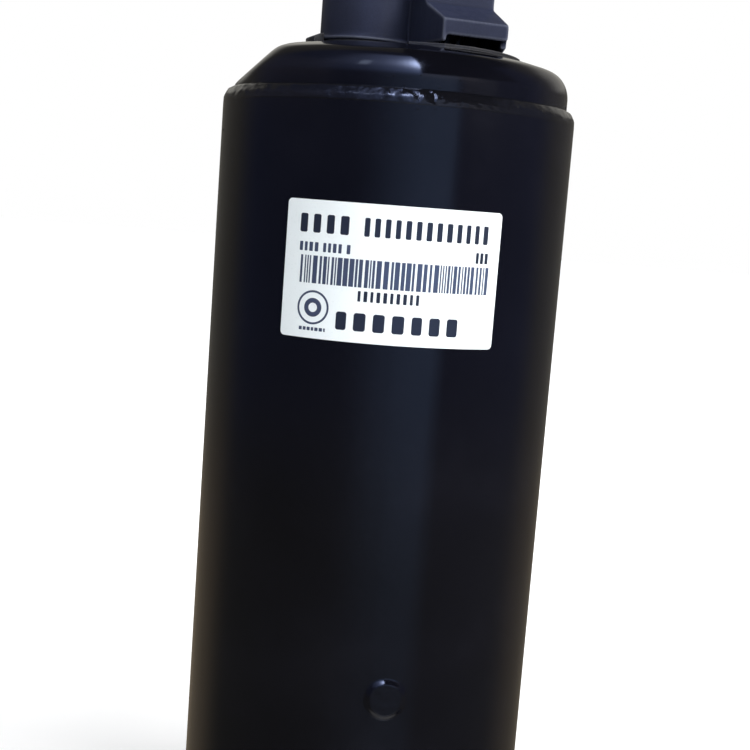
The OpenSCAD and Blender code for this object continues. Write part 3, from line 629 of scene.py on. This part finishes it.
def bead_relief(angle, across, drift, seed):
    """Relief in mm; across runs from 0 at the casing toe to 1 at the cap toe."""
    middle_weight = math.sin(math.pi * across)
    # scales: sawtooth ripples, curved across the bead
    phase = (angle * CAP_R / BEAD_PITCH - 2.16 * (across - 0.5) ** 2 + 0.9 * drift
             + 0.45 * ring_noise(angle, 30, seed)) % 1.0
    saw = (1 - phase) ** 1.5 * smooth01(phase / 0.18)
    scales = (0.022 * smooth01(0.5 + 0.9 * ring_noise(angle, 6, seed + 4.0))
              * saw * (0.25 + 0.75 * middle_weight))
    # two wandering ridges along the bead
    wave_a, wave_b = ring_noise(angle, 22, seed), ring_noise(angle, 22, seed + 8.0)
    ridge = (bell(across, 0.30 + 0.10 * wave_a, 0.10) * (0.6 + 0.9 * wave_b)
             + bell(across, 0.70 - 0.08 * wave_b, 0.09) * (0.7 + 0.9 * wave_a))
    # broad lumps, stronger and finer in the rough stretch
    lump = (ring_noise(angle, 9, across, seed) * 0.16
            + ring_noise(angle, 21, across * 2.2, seed) * 0.24)
    turn = (math.degrees(angle) - ROUGH_AZIMUTH + 180.0) % 360.0 - 180.0
    rough = bell(turn, 0.0, ROUGH_SPREAD)
    lump = lump * (0.45 + 0.55 * rough) + ring_noise(angle, 50, across * 4, seed) * 0.14 * rough
    # raised lip beside the cap toe
    lip = 0.15 * bell(across, 0.90, 0.05) * (0.9 + 0.3 * ring_noise(angle, 6, seed + 2.0))
    return scales + 0.15 * ridge + lip + lump * middle_weight - 0.16


def build_bead(name, face, back, node, seed):
    """face, back: (radius, height) points; face is the convex outside, back lies hidden."""
    rnd = random.Random(seed)
    drifts = [rnd.uniform(-1, 1) for _ in range(BEAD_DRIFTS)]
    last = len(face) - 1
    verts = []
    for j, (radius, z) in enumerate(face):
        across = j / last
        before, after = face[max(0, j - 1)], face[min(last, j + 1)]
        step_r, step_z = after[0] - before[0], after[1] - before[1]
        length = math.hypot(step_r, step_z)
        # outward normal: up on the upper bead, down on the one below 0.15 m
        normal_r, normal_z = abs(step_z) / length, abs(step_r) / length * (1 if z > 0.15 else -1)
        for i in range(BEAD_SEGMENTS):
            angle = TAU * i / BEAD_SEGMENTS
            place = (angle / TAU * BEAD_DRIFTS) % BEAD_DRIFTS
            k = int(place)
            drift = (drifts[k] * (1 - (place - k))
                     + drifts[(k + 1) % BEAD_DRIFTS] * (place - k))
            rise = bead_relief(angle, across, drift, seed) * MM
            toe = 0.12 * MM * ring_noise(angle, 25, 9.0 + seed) * across ** 4
            verts.append(polar(radius + normal_r * rise, angle, z + normal_z * rise + toe))
    for radius, z in back:
        verts += [polar(radius, TAU * i / BEAD_SEGMENTS, z) for i in range(BEAD_SEGMENTS)]
    ob = mesh_object(name, verts, ring_faces(len(face) + len(back), BEAD_SEGMENTS, closed=True))
    fix_normals(ob)
    register(ob, WELD_ENAMEL, replaces=node)


def bead_face(steps, reach, z_start, rise):
    """Quarter ellipse from the casing toe to the cap toe."""
    angles = [math.pi / 2 * i / steps for i in range(steps + 1)]
    return [(CAP_R + 0.05 * MM + reach * math.cos(t), z_start + rise * math.sin(t))
            for t in angles]


BEAD_BACK_R = CAP_R - 0.25 * MM
build_bead("upper_weld_bead",
           bead_face(26, CASING_R - CAP_R + 0.08 * MM, SHELL_HI.z - 2.0 * MM, 4.6 * MM),
           [(BEAD_BACK_R, SHELL_HI.z + 2.0 * MM), (BEAD_BACK_R, SHELL_HI.z - 0.6 * MM),
            (CASING_R - 1.2 * MM, SHELL_HI.z - 2.2 * MM)],
           "upper_seam_weld", seed=11)
build_bead("lower_weld_bead",
           bead_face(20, 2.4 * MM, SHELL_LO.z + 0.25 * MM, -2.35 * MM),
           [(BEAD_BACK_R, SHELL_LO.z - 1.8 * MM), (BEAD_BACK_R, SHELL_LO.z + 0.6 * MM),
            (CASING_R - 0.9 * MM, SHELL_LO.z + 0.6 * MM)],
           "lower_seam_weld", seed=23)

# ---------------------------------------------------------------- weld spatter
SPATTER_COUNT, SPATTER_FRONT = 46, 24          # all the drops, and those grouped at the front


def build_spatter():
    """Small drops stuck beside the upper seam, about half of them just right of the front."""
    rnd = random.Random(5)
    verts, faces = [], []
    for i in range(SPATTER_COUNT):
        if i < SPATTER_FRONT:
            angle = math.radians(-90 + rnd.gauss(10, 12))
        else:
            angle = rnd.uniform(0, TAU)
        on_shell = rnd.random() < 0.5
        size = rnd.uniform(0.12, 0.34) * MM
        if on_shell:
            centre = polar(CASING_R, angle, SEAM_Z - 3.6 * MM - rnd.random() ** 2 * 9 * MM)
        else:
            centre = polar(CAP_R, angle, SEAM_Z + 2.4 * MM + rnd.random() ** 2 * 3.3 * MM)
        bm = bmesh.new()
        bmesh.ops.create_icosphere(bm, subdivisions=2, radius=size)
        bm.verts.ensure_lookup_table()
        base = len(verts)
        wide, tall = rnd.uniform(0.8, 1.5), rnd.uniform(0.8, 1.4)
        for vert in bm.verts:
            x, y, z = vert.co
            swell = 1 + 0.25 * noise_at(x * 4000, y * 4000, z * 4000, i)
            point = Vector((x * 0.75, y * wide, z * tall)) * swell
            verts.append(Vector(centre) + Matrix.Rotation(angle, 3, "Z") @ point)
        for face in bm.faces:
            faces.append(tuple(base + vert.index for vert in face.verts))
        bm.free()
    register(mesh_object("weld_spatter", verts, faces), WELD_ENAMEL)


build_spatter()

# ---------------------------------------------------------------- plug welds
PLUG_FIRST_AZIMUTH = -80.4                     # degrees; three welds, evenly spaced
PLUG_RINGS, PLUG_SEGMENTS = 44, 96
PLUG_R, PLUG_EDGE_R = 7.3 * MM, 6.55 * MM      # whole patch, and the button's edge
PLUG_BACK = 0.5 * MM                           # depth of the back skin in the casing wall


def plug_relief(index, radius, turn):
    """Height of one button over the casing."""
    edge = PLUG_EDGE_R * (1 + 0.03 * ring_noise(turn, 1.5, index * 3.0)
                          + 0.012 * math.sin(3 * turn + index))
    out = radius / edge                        # 0 at the centre, 1 at the edge
    if out > 1.0:                              # the skirt dives into the casing
        return 0.02 * MM - 0.25 * MM * smooth01((out - 1.0) / 0.08)
    dome = 0.74 * MM * (1 - smooth01((out - 0.70) / 0.30))
    crown = 0.05 * MM * (1 - out ** 2) - 0.04 * MM * bell(out, 0.1, 0.2)
    lump = (0.03 * MM * ring_noise(turn, radius * 500, index * 5.0)
            * smooth01((1.05 - out) / 0.4))
    return dome + crown + lump + 0.02 * MM


def build_plug_welds():
    """Low irregular buttons at the height of the suction adapter."""
    verts, faces = [], []
    n = PLUG_SEGMENTS
    for index in range(3):
        azimuth = math.radians(PLUG_FIRST_AZIMUTH + 120 * index)
        base = len(verts)
        for i in range(PLUG_RINGS):
            radius = PLUG_R * i / (PLUG_RINGS - 1)
            for j in range(n):
                turn = TAU * j / n
                verts.append(polar(CASING_R + plug_relief(index, radius, turn),
                                   azimuth + radius * math.cos(turn) / CASING_R,
                                   PUMP_Z + radius * math.sin(turn)))
        faces += [(base + a, base + d, base + c, base + b)
                  for a, b, c, d in ring_faces(PLUG_RINGS, n)]
        back = len(verts)
        for j in range(n):
            turn = TAU * j / n
            verts.append(polar(CASING_R - PLUG_BACK, azimuth + PLUG_R * math.cos(turn) / CASING_R,
                               PUMP_Z + PLUG_R * math.sin(turn)))
        rim = back - n
        for j in range(n):
            k = (j + 1) % n
            faces.append((rim + j, back + j, back + k, rim + k))
        faces.append(tuple(range(back, back + n)))
    ob = mesh_object("casing_plug_welds", verts, faces)
    fix_normals(ob, merge=1e-7)
    register(ob, MATERIALS["black_enamel"], replaces="plug_welds")


build_plug_welds()

# ---------------------------------------------------------------- rating label
LABEL_LO, LABEL_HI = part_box("rating_label")
LABEL_R = CASING_R + 0.02 * MM
LABEL_THICK = 0.15 * MM
LABEL_CORNER = 1.3 * MM
LABEL_TOP = LABEL_HI.z
LABEL_HEIGHT = LABEL_TOP - LABEL_LO.z
LABEL_AZIMUTH = math.radians(-90 + 1.6)
half_span = (LABEL_HI.x - LABEL_LO.x) / 2
LABEL_WIDTH = 2 * math.asin(min(1.0, half_span / (CASING_R + 0.1 * MM))) * CASING_R
if abs(LABEL_WIDTH - 65 * MM) < 2 * MM:        # take the nominal width when close to it
    LABEL_WIDTH = 65.0 * MM
PRINT_R = LABEL_R + 0.14 * MM
PRINT_THICK = 0.03 * MM


def label_point(radius, u, v):
    """Point on the wrapped label: u along it from the left edge, v down from the top."""
    return polar(radius, LABEL_AZIMUTH + (u - LABEL_WIDTH / 2) / CASING_R, LABEL_TOP - v)


def rounded_columns(u0, v0, width, height, corner):
    """(u, upper v, lower v) columns of a rounded rectangle."""
    corner = min(corner, width / 2, height / 2)
    rounding = [corner * (1 - math.cos(math.pi / 2 * i / 5)) for i in range(6)]
    flat = width - 2 * corner
    steps = max(1, int(flat / (1.2 * MM)))
    us = [u0 + r for r in rounding]
    if flat > 1e-9:
        us += [u0 + corner + flat * i / steps for i in range(1, steps)]
    us += [u0 + width - r for r in reversed(rounding)]
    columns = []
    for u in us:
        d = min(u - u0, u0 + width - u)
        drop = 0.0
        if d < corner:
            drop = corner - math.sqrt(max(0.0, corner * corner - max(0.0, corner - d) ** 2))
        upper, lower = v0 + drop, v0 + height - drop
        if lower - upper < 0.02 * MM:          # keeps the end columns from closing up
            centre = (upper + lower) / 2
            upper, lower = centre - 0.01 * MM, centre + 0.01 * MM
        columns.append((u, upper, lower))
    return columns


class LabelLayer:
    """Thin raised patches on the label, gathered into one mesh."""

    def __init__(self, radius=PRINT_R, thick=PRINT_THICK):
        self.radii = (radius, radius + thick)
        self.verts, self.faces = [], []

    def patch(self, columns):
        base = len(self.verts)
        for u, upper, lower in columns:
            self.verts += [label_point(r, u, v) for r in self.radii for v in (upper, lower)]
        end = base + 4 * (len(columns) - 1)
        for p in range(base, end, 4):
            q = p + 4
            self.faces += [(p + 2, q + 2, q + 3, p + 3),      # outside
                           (p, p + 1, q + 1, q),              # back
                           (p, q, q + 2, p + 2),              # top edge
                           (p + 1, p + 3, q + 3, q + 1)]      # bottom edge
        self.faces += [(base, base + 2, base + 3, base + 1), (end, end + 1, end + 3, end + 2)]

    def row(self, rnd, start, end, top, height, widths, gap, corner, word=0, word_gap=0.0):
        """A row of blocks, in mm, with an extra gap after every word blocks."""
        u, count = start, 0
        while u < end - 0.4 * widths[0]:
            width = min(rnd.uniform(*widths), end - u)
            self.patch(rounded_columns(u * MM, top * MM, width * MM, height * MM, corner * MM))
            u += width + gap
            count += 1
            if word and count % word == 0:
                u += word_gap

    def bars(self, rnd, start, end, top, bottom):
        """A strip of upright bars, in mm."""
        u = start
        while u < end:
            width = rnd.choice((0.42, 0.42, 0.7, 0.7, 1.05, 1.4))
            self.patch([(x * MM, top * MM, bottom * MM) for x in (u, u + width / 2, u + width)])
            u += width + rnd.choice((0.34, 0.34, 0.46, 0.66))

    def ring(self, u, v, inner, outer, segments=72):
        """A plain ring about (u, v), in mm."""
        base = len(self.verts)
        for i in range(segments):
            turn = TAU * i / segments
            for size in (inner, outer):
                place = (u + size * math.cos(turn)) * MM, (v + size * math.sin(turn)) * MM
                self.verts += [label_point(r, *place) for r in self.radii]
            p, q = base + 4 * i, base + 4 * ((i + 1) % segments)
            self.faces += [(p + 1, q + 1, q + 3, p + 3), (p, p + 2, q + 2, q),
                           (p, q, q + 1, p + 1), (p + 2, p + 3, q + 3, q + 2)]

    def build(self, name, material, replaces=None):
        ob = mesh_object(name, self.verts, self.faces)
        fix_normals(ob)
        ob.data.set_sharp_from_angle(angle=math.radians(40))
        register(ob, material, replaces=replaces)


# Dark rows of blocks, in mm: start, end, top, height, (least, most width), gap, corner
DARK_ROWS = (
    (4.6, 21.2, 4.0, 5.3, (2.2, 2.5), 1.85, 0.55),
    (23.9, 62.0, 4.0, 5.3, (1.3, 1.7), 1.4, 0.4),
    (57.0, 61.6, 11.7, 3.1, (0.9, 1.1), 0.5, 0.2),
    (23.3, 40.8, 24.7, 3.0, (0.8, 1.1), 0.9, 0.22),
    (17.4, 54.2, 31.0, 5.2, (3.0, 3.5), 2.1, 0.75),
)


def build_label():
    """Label film, then generic print: rows of blocks, a strip of bars and two plain rings."""
    sheet = LabelLayer(LABEL_R, LABEL_THICK)
    sheet.patch(rounded_columns(0, 0, LABEL_WIDTH, LABEL_HEIGHT, LABEL_CORNER))
    sheet.build("rating_label_film", MATERIALS["label_film"], replaces="rating_label")

    rnd = random.Random(41)
    dark = LabelLayer()
    for row in DARK_ROWS:
        dark.row(rnd, *row)
    dark.build("rating_label_print", INK)

    light = LabelLayer()
    light.row(rnd, start=4.8, end=20.4, top=12.0, height=2.6, widths=(0.8, 1.15), gap=0.6,
              corner=0.2, word=4, word_gap=0.9)
    light.bars(rnd, start=5.4, end=61.6, top=15.8, bottom=23.7)
    light.ring(10.2, 30.6, inner=4.3, outer=4.9)
    light.ring(10.2, 30.6, inner=1.35, outer=2.7)
    light.row(rnd, start=6.2, end=14.4, top=36.3, height=1.0, widths=(0.7, 1.1), gap=0.35,
              corner=0.15)
    light.build("rating_label_marks", INK_LIGHT)


build_label()


# ---------------------------------------------------------------- terminal cover
def build_cover():
    """Moulded cover with softened edges, kept inside the box of the CAD piece."""
    ob = copy_part("terminal_cover", "terminal_cover_moulding", "cover_mesh")
    remesh = ob.modifiers.new("remesh", "REMESH")
    remesh.mode = "VOXEL"
    remesh.voxel_size = 0.42 * MM
    soften = ob.modifiers.new("soft", "SMOOTH")
    soften.factor = 0.5
    soften.iterations = 7
    apply_modifiers(ob)
    low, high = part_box("terminal_cover")
    for vert in ob.data.vertices:
        vert.co = [max(a, min(b, c)) for a, b, c in zip(low, high, vert.co)]
    shade_smooth(ob.data)
    register(ob, MATERIALS["cover_plastic"], "terminal_cover", body="cover")


build_cover()


# ---------------------------------------------------------------- discharge reed
def build_reed():
    """Valve strip copied from the CAD piece and sliced across in 0.5 mm steps from near its hinge towards the free
    end.
    """
    joint = next(j for j in frame["joints"] if j["name"] == "discharge_reed_lift")
    hinge, axis = Vector(joint["pos_m"]), Vector(joint["axis"]).normalized()
    along = Vector((-axis.y, axis.x, 0.0))     # from the rivet towards the free end
    if (hinge - Vector(middle("valve_rivet"))).dot(along) < 0:
        along = -along
    cuts = [hinge + along * (i * 0.5 - 1.0) * MM for i in range(40)]
    ob = copy_part("discharge_valve_reed", "discharge_reed_strip", "reed_mesh", cuts, along)
    shade_smooth(ob.data, sharp_angle=40)
    slot = SLOT_OF["discharge_valve_reed"]
    set_material(ob, MATERIALS[slot])
    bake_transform(ob)
    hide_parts("discharge_valve_reed")


build_reed()

# ---------------------------------------------------------------- fillets where tubes enter
FILLET_SEGMENTS, FILLET_SIDES = 220, 12


def build_fillet(name, centre, axis, inner_r, size, seed, material, slot):
    """A wavy ring of brazing alloy or weld around an axis."""
    turn_to_axis = Vector(axis).to_track_quat("Z", "Y").to_matrix()
    verts = []
    for j in range(FILLET_SIDES):
        side = TAU * j / FILLET_SIDES
        reach = 0.8 if math.sin(side) > 0 else 1.0
        for i in range(FILLET_SEGMENTS):
            angle = TAU * i / FILLET_SEGMENTS
            wave = (1 + 0.16 * ring_noise(angle, 2.2, seed)
                    + 0.07 * math.sin(angle * 23 + 3 * ring_noise(angle, 1, seed)))
            radius = inner_r + size * 0.25 + size * 0.75 * wave * math.cos(side) * reach
            z = size * 0.8 * wave * math.sin(side)
            verts.append(Vector(centre) + turn_to_axis @ Vector(polar(radius, angle, z)))
    ob = mesh_object(name, verts, ring_faces(FILLET_SIDES, FILLET_SEGMENTS, closed=True))
    fix_normals(ob)
    register(ob, material)


COLLAR_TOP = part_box("discharge_collar")[1].z
ADAPTER_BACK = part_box("suction_adapter")[1].y
UP, DOWN, BACKWARD = (0, 0, 1), (0, 0, -1), (0, 1, 0)
AS_BRAZE = (BRAZE, "bare_steel")
AS_WELD = (WELD_ENAMEL, "weld_enamel")
# name, centre, axis, inner radius in mm, size in mm, noise seed, (material, slot)
FILLETS = (
    ("discharge_braze", (TUBE_X, TUBE_Y, COLLAR_TOP), UP, 4.8, 1.1, 3, AS_BRAZE),
    ("discharge_collar_weld", (TUBE_X, TUBE_Y, CAP_TOP), UP, 7.5, 1.0, 7, AS_WELD),
    ("inlet_braze", (ACC_X, ACC_Y, ACC_HI.z), UP, 8.0, 0.9, 5, AS_BRAZE),
    ("outlet_braze", (ACC_X, ACC_Y, ACC_LO.z), DOWN, 8.0, 0.9, 6, AS_WELD),
    ("elbow_braze", (0, ADAPTER_BACK, PUMP_Z), BACKWARD, 8.0, 0.9, 8, AS_WELD),
    ("adapter_weld", (0, CASING_R + 0.15 * MM, PUMP_Z), BACKWARD, 10.5, 1.2, 9, AS_WELD),
)
for fillet_name, centre, axis, inner_r, size, seed, finish in FILLETS:
    build_fillet(fillet_name, centre, axis, inner_r * MM, size * MM, seed, *finish)

# ---------------------------------------------------------------- open weld runs
RUN_STEP = 0.25 * MM
RUN_PITCH = 1.9 * MM                           # spacing of the scales
RUN_SIDES = 12


def build_weld_run(name, corners, size, seed):
    """An open bead along a polyline, with scales and rounded ends."""
    corners = [Vector(p) for p in corners]
    path = []
    for a, b in zip(corners, corners[1:]):
        steps = max(2, int((b - a).length / RUN_STEP))
        path += [a.lerp(b, i / steps) for i in range(steps)]
    path.append(corners[-1])
    last = len(path) - 1
    verts = []
    for i, point in enumerate(path):
        forward = (path[min(i + 1, last)] - path[max(i - 1, 0)]).normalized()
        outward = Vector((point.x, point.y, 0)).normalized()
        side = forward.cross(outward).normalized()
        outward = side.cross(forward).normalized()
        distance = i * RUN_STEP
        from_end = min(1.0, min(i, last - i) / 5.0)
        rounding = math.sqrt(max(0.0, 1 - (1 - from_end) ** 2)) * 0.98 + 0.02
        for j in range(RUN_SIDES):
            turn = TAU * j / RUN_SIDES
            phase = (distance / RUN_PITCH + 0.5 * abs(math.sin(turn))
                     + 0.3 * noise_at(distance * 300, seed, 0)) % 1
            radius = size * rounding * (1 + 0.13 * (1 - phase)
                                        + 0.12 * noise_at(distance * 500, turn, seed))
            verts.append(point + side * radius * math.sin(turn)
                         + outward * radius * math.cos(turn) * 0.8)
    faces = [(a, b, c, d) for a, b, c, d in ring_faces(len(path), RUN_SIDES)]
    faces.append(tuple(range(RUN_SIDES)))
    faces.append(tuple(last * RUN_SIDES + j for j in reversed(range(RUN_SIDES))))
    ob = mesh_object(name, verts, faces)
    fix_normals(ob)
    register(ob, WELD_ENAMEL)


bracket_lo, bracket_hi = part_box("accumulator_bracket")
for side_name, sign in (("left", -1), ("right", 1)):
    x = sign * (bracket_hi.x + 0.3 * MM)
    y = math.sqrt(max(0, CASING_R * CASING_R - x * x)) + 0.1 * MM
    ends = [(x, y, bracket_lo.z + 1.5 * MM), (x, y, bracket_hi.z - 1.5 * MM)]
    build_weld_run("bracket_weld_" + side_name, ends, 0.9 * MM, 31 + sign)

BASE_WELD_R = 44.9 * MM
BASE_WELD_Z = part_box("mounting_base")[1].z + 0.1 * MM
for k in range(6):                             # 18 degrees long, every 60 degrees
    start = 30 + 60 * k - 9
    arc = [polar(BASE_WELD_R, math.radians(start + 18 * i / 14), BASE_WELD_Z) for i in range(15)]
    build_weld_run("base_weld_%d" % k, arc, 0.95 * MM, 50 + k)


# ---------------------------------------------------------------- floor
def build_floor(half=6):
    """Pale floor that glows to the camera but still takes a soft shadow."""
    z = cad_box[0][2]
    mesh = bpy.data.meshes.new("studio_floor")
    corners = [(-half, -half, z), (half, -half, z), (half, half, z), (-half, half, z)]
    mesh.from_pydata(corners, [], [(0, 1, 2, 3)])
    floor = link_object("studio_floor", mesh)
    s = Surface("studio_floor")
    cloud = s.noise(scale=3, detail=4, rough=0.5)
    s.finish(s.ramp(cloud, (0.3, (0.80, 0.80, 0.80)), (0.7, (0.83, 0.83, 0.83))),
             roughness=0.85, extra={"Specular IOR Level": 0.1})
    to_camera = s.add("LightPath").outputs["Is Camera Ray"]
    distance = s.add("VectorMath", {0: s.place}, operation="LENGTH").outputs["Value"]
    glow = s.remap(distance, span=(0.12, 0.7), to=(0.52, 0.84))
    emission = s.add("Emission", {1: s.times(to_camera, glow)})
    both = s.add("AddShader", {0: s.bsdf.outputs[0], 1: emission.outputs[0]})
    s.feed(s.output.inputs[0], both.outputs[0])
    floor.visible_glossy = False
    floor.data.materials.append(s.material)


build_floor()


# ---------------------------------------------------------------- lights
def area_light(name, azimuth, elevation, distance, target_z, size, power,
               colour=(1.0, 0.99, 0.98), size_y=None):
    """Area light hidden from reflections; azimuth 0 is in front (-Y), positive to the right."""
    azimuth, elevation = math.radians(azimuth), math.radians(elevation)
    direction = Vector((math.sin(azimuth) * math.cos(elevation),
                        -math.cos(azimuth) * math.cos(elevation), math.sin(elevation)))
    data = bpy.data.lights.new(name, "AREA")
    data.energy = power
    data.color = colour
    data.size = size
    if size_y:
        data.shape = "RECTANGLE"
        data.size_y = size_y
    light = bpy.data.objects.new(name, data)
    light.location = Vector((0, 0, target_z)) + direction * distance
    light.rotation_mode = "QUATERNION"
    light.rotation_quaternion = direction.to_track_quat("Z", "Y")
    light.visible_glossy = False
    scene.collection.objects.link(light)


area_light("key_right", azimuth=66, elevation=22, distance=1.8, target_z=0.17,
           size=0.9, size_y=1.1, power=38.0)
area_light("soft_top", azimuth=25, elevation=66, distance=2.4, target_z=0.1,
           size=2.0, power=24.0, colour=(1.0, 1.0, 1.0))
area_light("soft_left", azimuth=-30, elevation=28, distance=2.2, target_z=0.15,
           size=1.6, power=6.5)
area_light("front_right", azimuth=36, elevation=16, distance=2.0, target_z=0.25,
           size=0.8, power=8.0)


# ---------------------------------------------------------------- world
def build_world():
    """Glossy rays see a painted room, the camera sees white, other rays an even fill."""
    world = bpy.data.worlds.new("studio")
    scene.world = world
    world.use_nodes = True
    env = Nodes(world.node_tree)
    output = env.add("OutputWorld")
    times = env.times
    ray = env.add("SeparateXYZ", {0: env.add("TexCoord").outputs["Generated"]})
    x, y, z = ray.outputs
    # degrees: azimuth 0 in front (-Y), positive to the right; elevation from the horizon
    azimuth = times(env.math("ARCTAN2", x, times(y, -1.0)), 180 / math.pi)
    elevation = times(env.math("ARCSINE", z), 180 / math.pi)
    turn = env.math("ABSOLUTE", azimuth)

    def fade(angle, dark, lit, least=0.0):
        """least at the angle dark, rising smoothly to 1 at the angle lit."""
        span, to = (dark, lit), (least, 1.0)
        if dark > lit:
            span, to = span[::-1], to[::-1]
        return env.remap(angle, span, to, interpolation_type="SMOOTHSTEP")

    def az(dark, lit):
        return fade(azimuth, dark, lit)

    def el(dark, lit, least=0.0):
        return fade(elevation, dark, lit, least)

    def inverse(mask):
        return env.math("SUBTRACT", 1.0, mask)

    def growth(angle, centre, width):
        """Exponential rise with the angle, 1 at the centre."""
        return env.math("EXPONENT", times(env.math("SUBTRACT", angle, centre), 1.0 / width))

    def gaussian(angle, centre, width):
        q = times(env.math("SUBTRACT", angle, centre), 0.70711 / width)
        return env.math("EXPONENT", times(times(q, q), -1.0))

    def near(angle, operation, offset, dark, lit):
        """Patch that fades with the distance left after the offset."""
        return fade(env.math("ABSOLUTE", env.math(operation, angle, offset)), dark, lit)

    def lit(room, colour, mask):
        inputs = {0: room, 1: env.scaled(colour, mask)}
        return env.add("VectorMath", inputs, operation="ADD").outputs[0]

    # front half: warm below the horizon, blue above
    above = el(-16, -5)
    room = lit(env.add("CombineXYZ").outputs[0], (0.085, 0.082, 0.072), inverse(above))
    room = lit(room, (0.055, 0.065, 0.13), above)
    # back half, with a band over its horizon and a patch low on the left
    back = fade(turn, 95, 125)
    room = env.scaled(room, inverse(back))
    room = lit(room, (0.12, 0.113, 0.098), times(back, above))
    room = lit(room, (0.15, 0.127, 0.095), times(back, inverse(above)))
    room = lit(room, (0.06, 0.045, 0.03), times(az(-100, -130), el(-8, -20)))
    room = lit(room, (0.38, 0.37, 0.34), times(fade(turn, 118, 142), el(7, 13), el(42, 28)))
    # dim wall on the left
    room = lit(room, (0.065, 0.055, 0.055),
               times(az(-38, -55), el(3, 6), el(50, 30), inverse(back)))
    # sharp right-hand edge shared by the upper lights
    cut = az(13.4, 12.3)
    # pale window at the front right
    window = times(az(-28, 26), az(43, 34), el(-24, -4, least=0.22),
                   inverse(times(inverse(cut), el(13, 19))), el(34, 20))
    room = lit(room, (0.19, 0.29, 0.50), window)
    # two low patches on the right
    room = lit(room, (0.22, 0.20, 0.22), times(inverse(cut), az(62, 42), el(5.5, 9), el(19, 15)))
    room = lit(room, (0.13, 0.13, 0.13), times(az(38, 46), az(72, 60), el(3, 5), el(19, 15)))
    # broad light high in front, its glow, and the lamp itself
    room = lit(room, (0.30, 0.36, 0.62), times(az(-70, -15), cut, el(20, 42), el(80, 66)))
    room = lit(room, (0.70, 0.93, 1.9),
               times(growth(azimuth, centre=10.0, width=28.0), cut, el(5, 22), el(80, 68)))
    room = lit(room, (10.5, 12.4, 19.0),
               times(growth(azimuth, centre=10.0, width=6.5), cut,
                     gaussian(elevation, centre=45.0, width=9.5)))
    # small second lamp, 28 degrees left and 38 up
    room = lit(room, (1.2, 1.4, 1.9),
               times(near(azimuth, "ADD", 28.0, dark=6.0, lit=1.5),
                     near(elevation, "SUBTRACT", 38.0, dark=12.0, lit=2.0)))
    # patch of floor in front, and the floor straight below
    room = lit(room, (0.40, 0.43, 0.52),
               times(az(-12, 8), az(50, 34), el(-30, -36), el(-56, -46)))
    room = lit(room, (0.42, 0.42, 0.44), el(-50, -66))
    # nearly black region above the low patches, right of the edge
    darkening = env.plus(0.93, 0.0)
    region = env.math("MAXIMUM", az(92, 78), el(42, 54))
    room = env.scaled(room, inverse(times(inverse(cut), region, el(13, 19), darkening)))

    def background(colour, strength=1.0):
        return env.add("Background", {0: colour, 1: strength}).outputs[0]

    path = env.add("LightPath").outputs
    fill = background((0.95, 0.97, 1.0), strength=0.27)
    seen = env.add("MixShader", {0: path["Is Glossy Ray"], 1: fill, 2: background(room)})
    final = env.add("MixShader", {0: path["Is Camera Ray"], 1: seen.outputs[0],
                                  2: background((1, 1, 1))})
    env.feed(output.inputs[0], final.outputs[0])


build_world()

scene.view_settings.view_transform = "Standard"
scene.view_settings.look = "None"
scene.view_settings.exposure = 0.0
scene.view_settings.gamma = 1.0

# ---------------------------------------------------------------- camera
CAMERA_PLACE = (0, -0.411363, SEAM_Z - 0.0301825)
YAW, PITCH, ROLL = -0.0029, 0.1372, 0.0759     # radians: to the right, down, anticlockwise


def build_camera():
    """In front of the label, a little below the seam."""
    forward = Vector((math.sin(YAW) * math.cos(PITCH), math.cos(YAW) * math.cos(PITCH),
                      -math.sin(PITCH)))
    level = Vector((math.cos(YAW), -math.sin(YAW), 0))
    upright = level.cross(forward)
    right = math.cos(ROLL) * level + math.sin(ROLL) * upright
    up = -math.sin(ROLL) * level + math.cos(ROLL) * upright
    data = bpy.data.cameras.new("camera")
    camera = link_object("camera", data)
    rotation = Matrix((right, up, -forward)).transposed().to_4x4()
    camera.matrix_world = Matrix.Translation(CAMERA_PLACE) @ rotation
    data.sensor_width = 36
    data.lens = 60.30816
    data.clip_start, data.clip_end = 0.01, 50
    scene.camera = camera


build_camera()

bpy.context.view_layer.update()
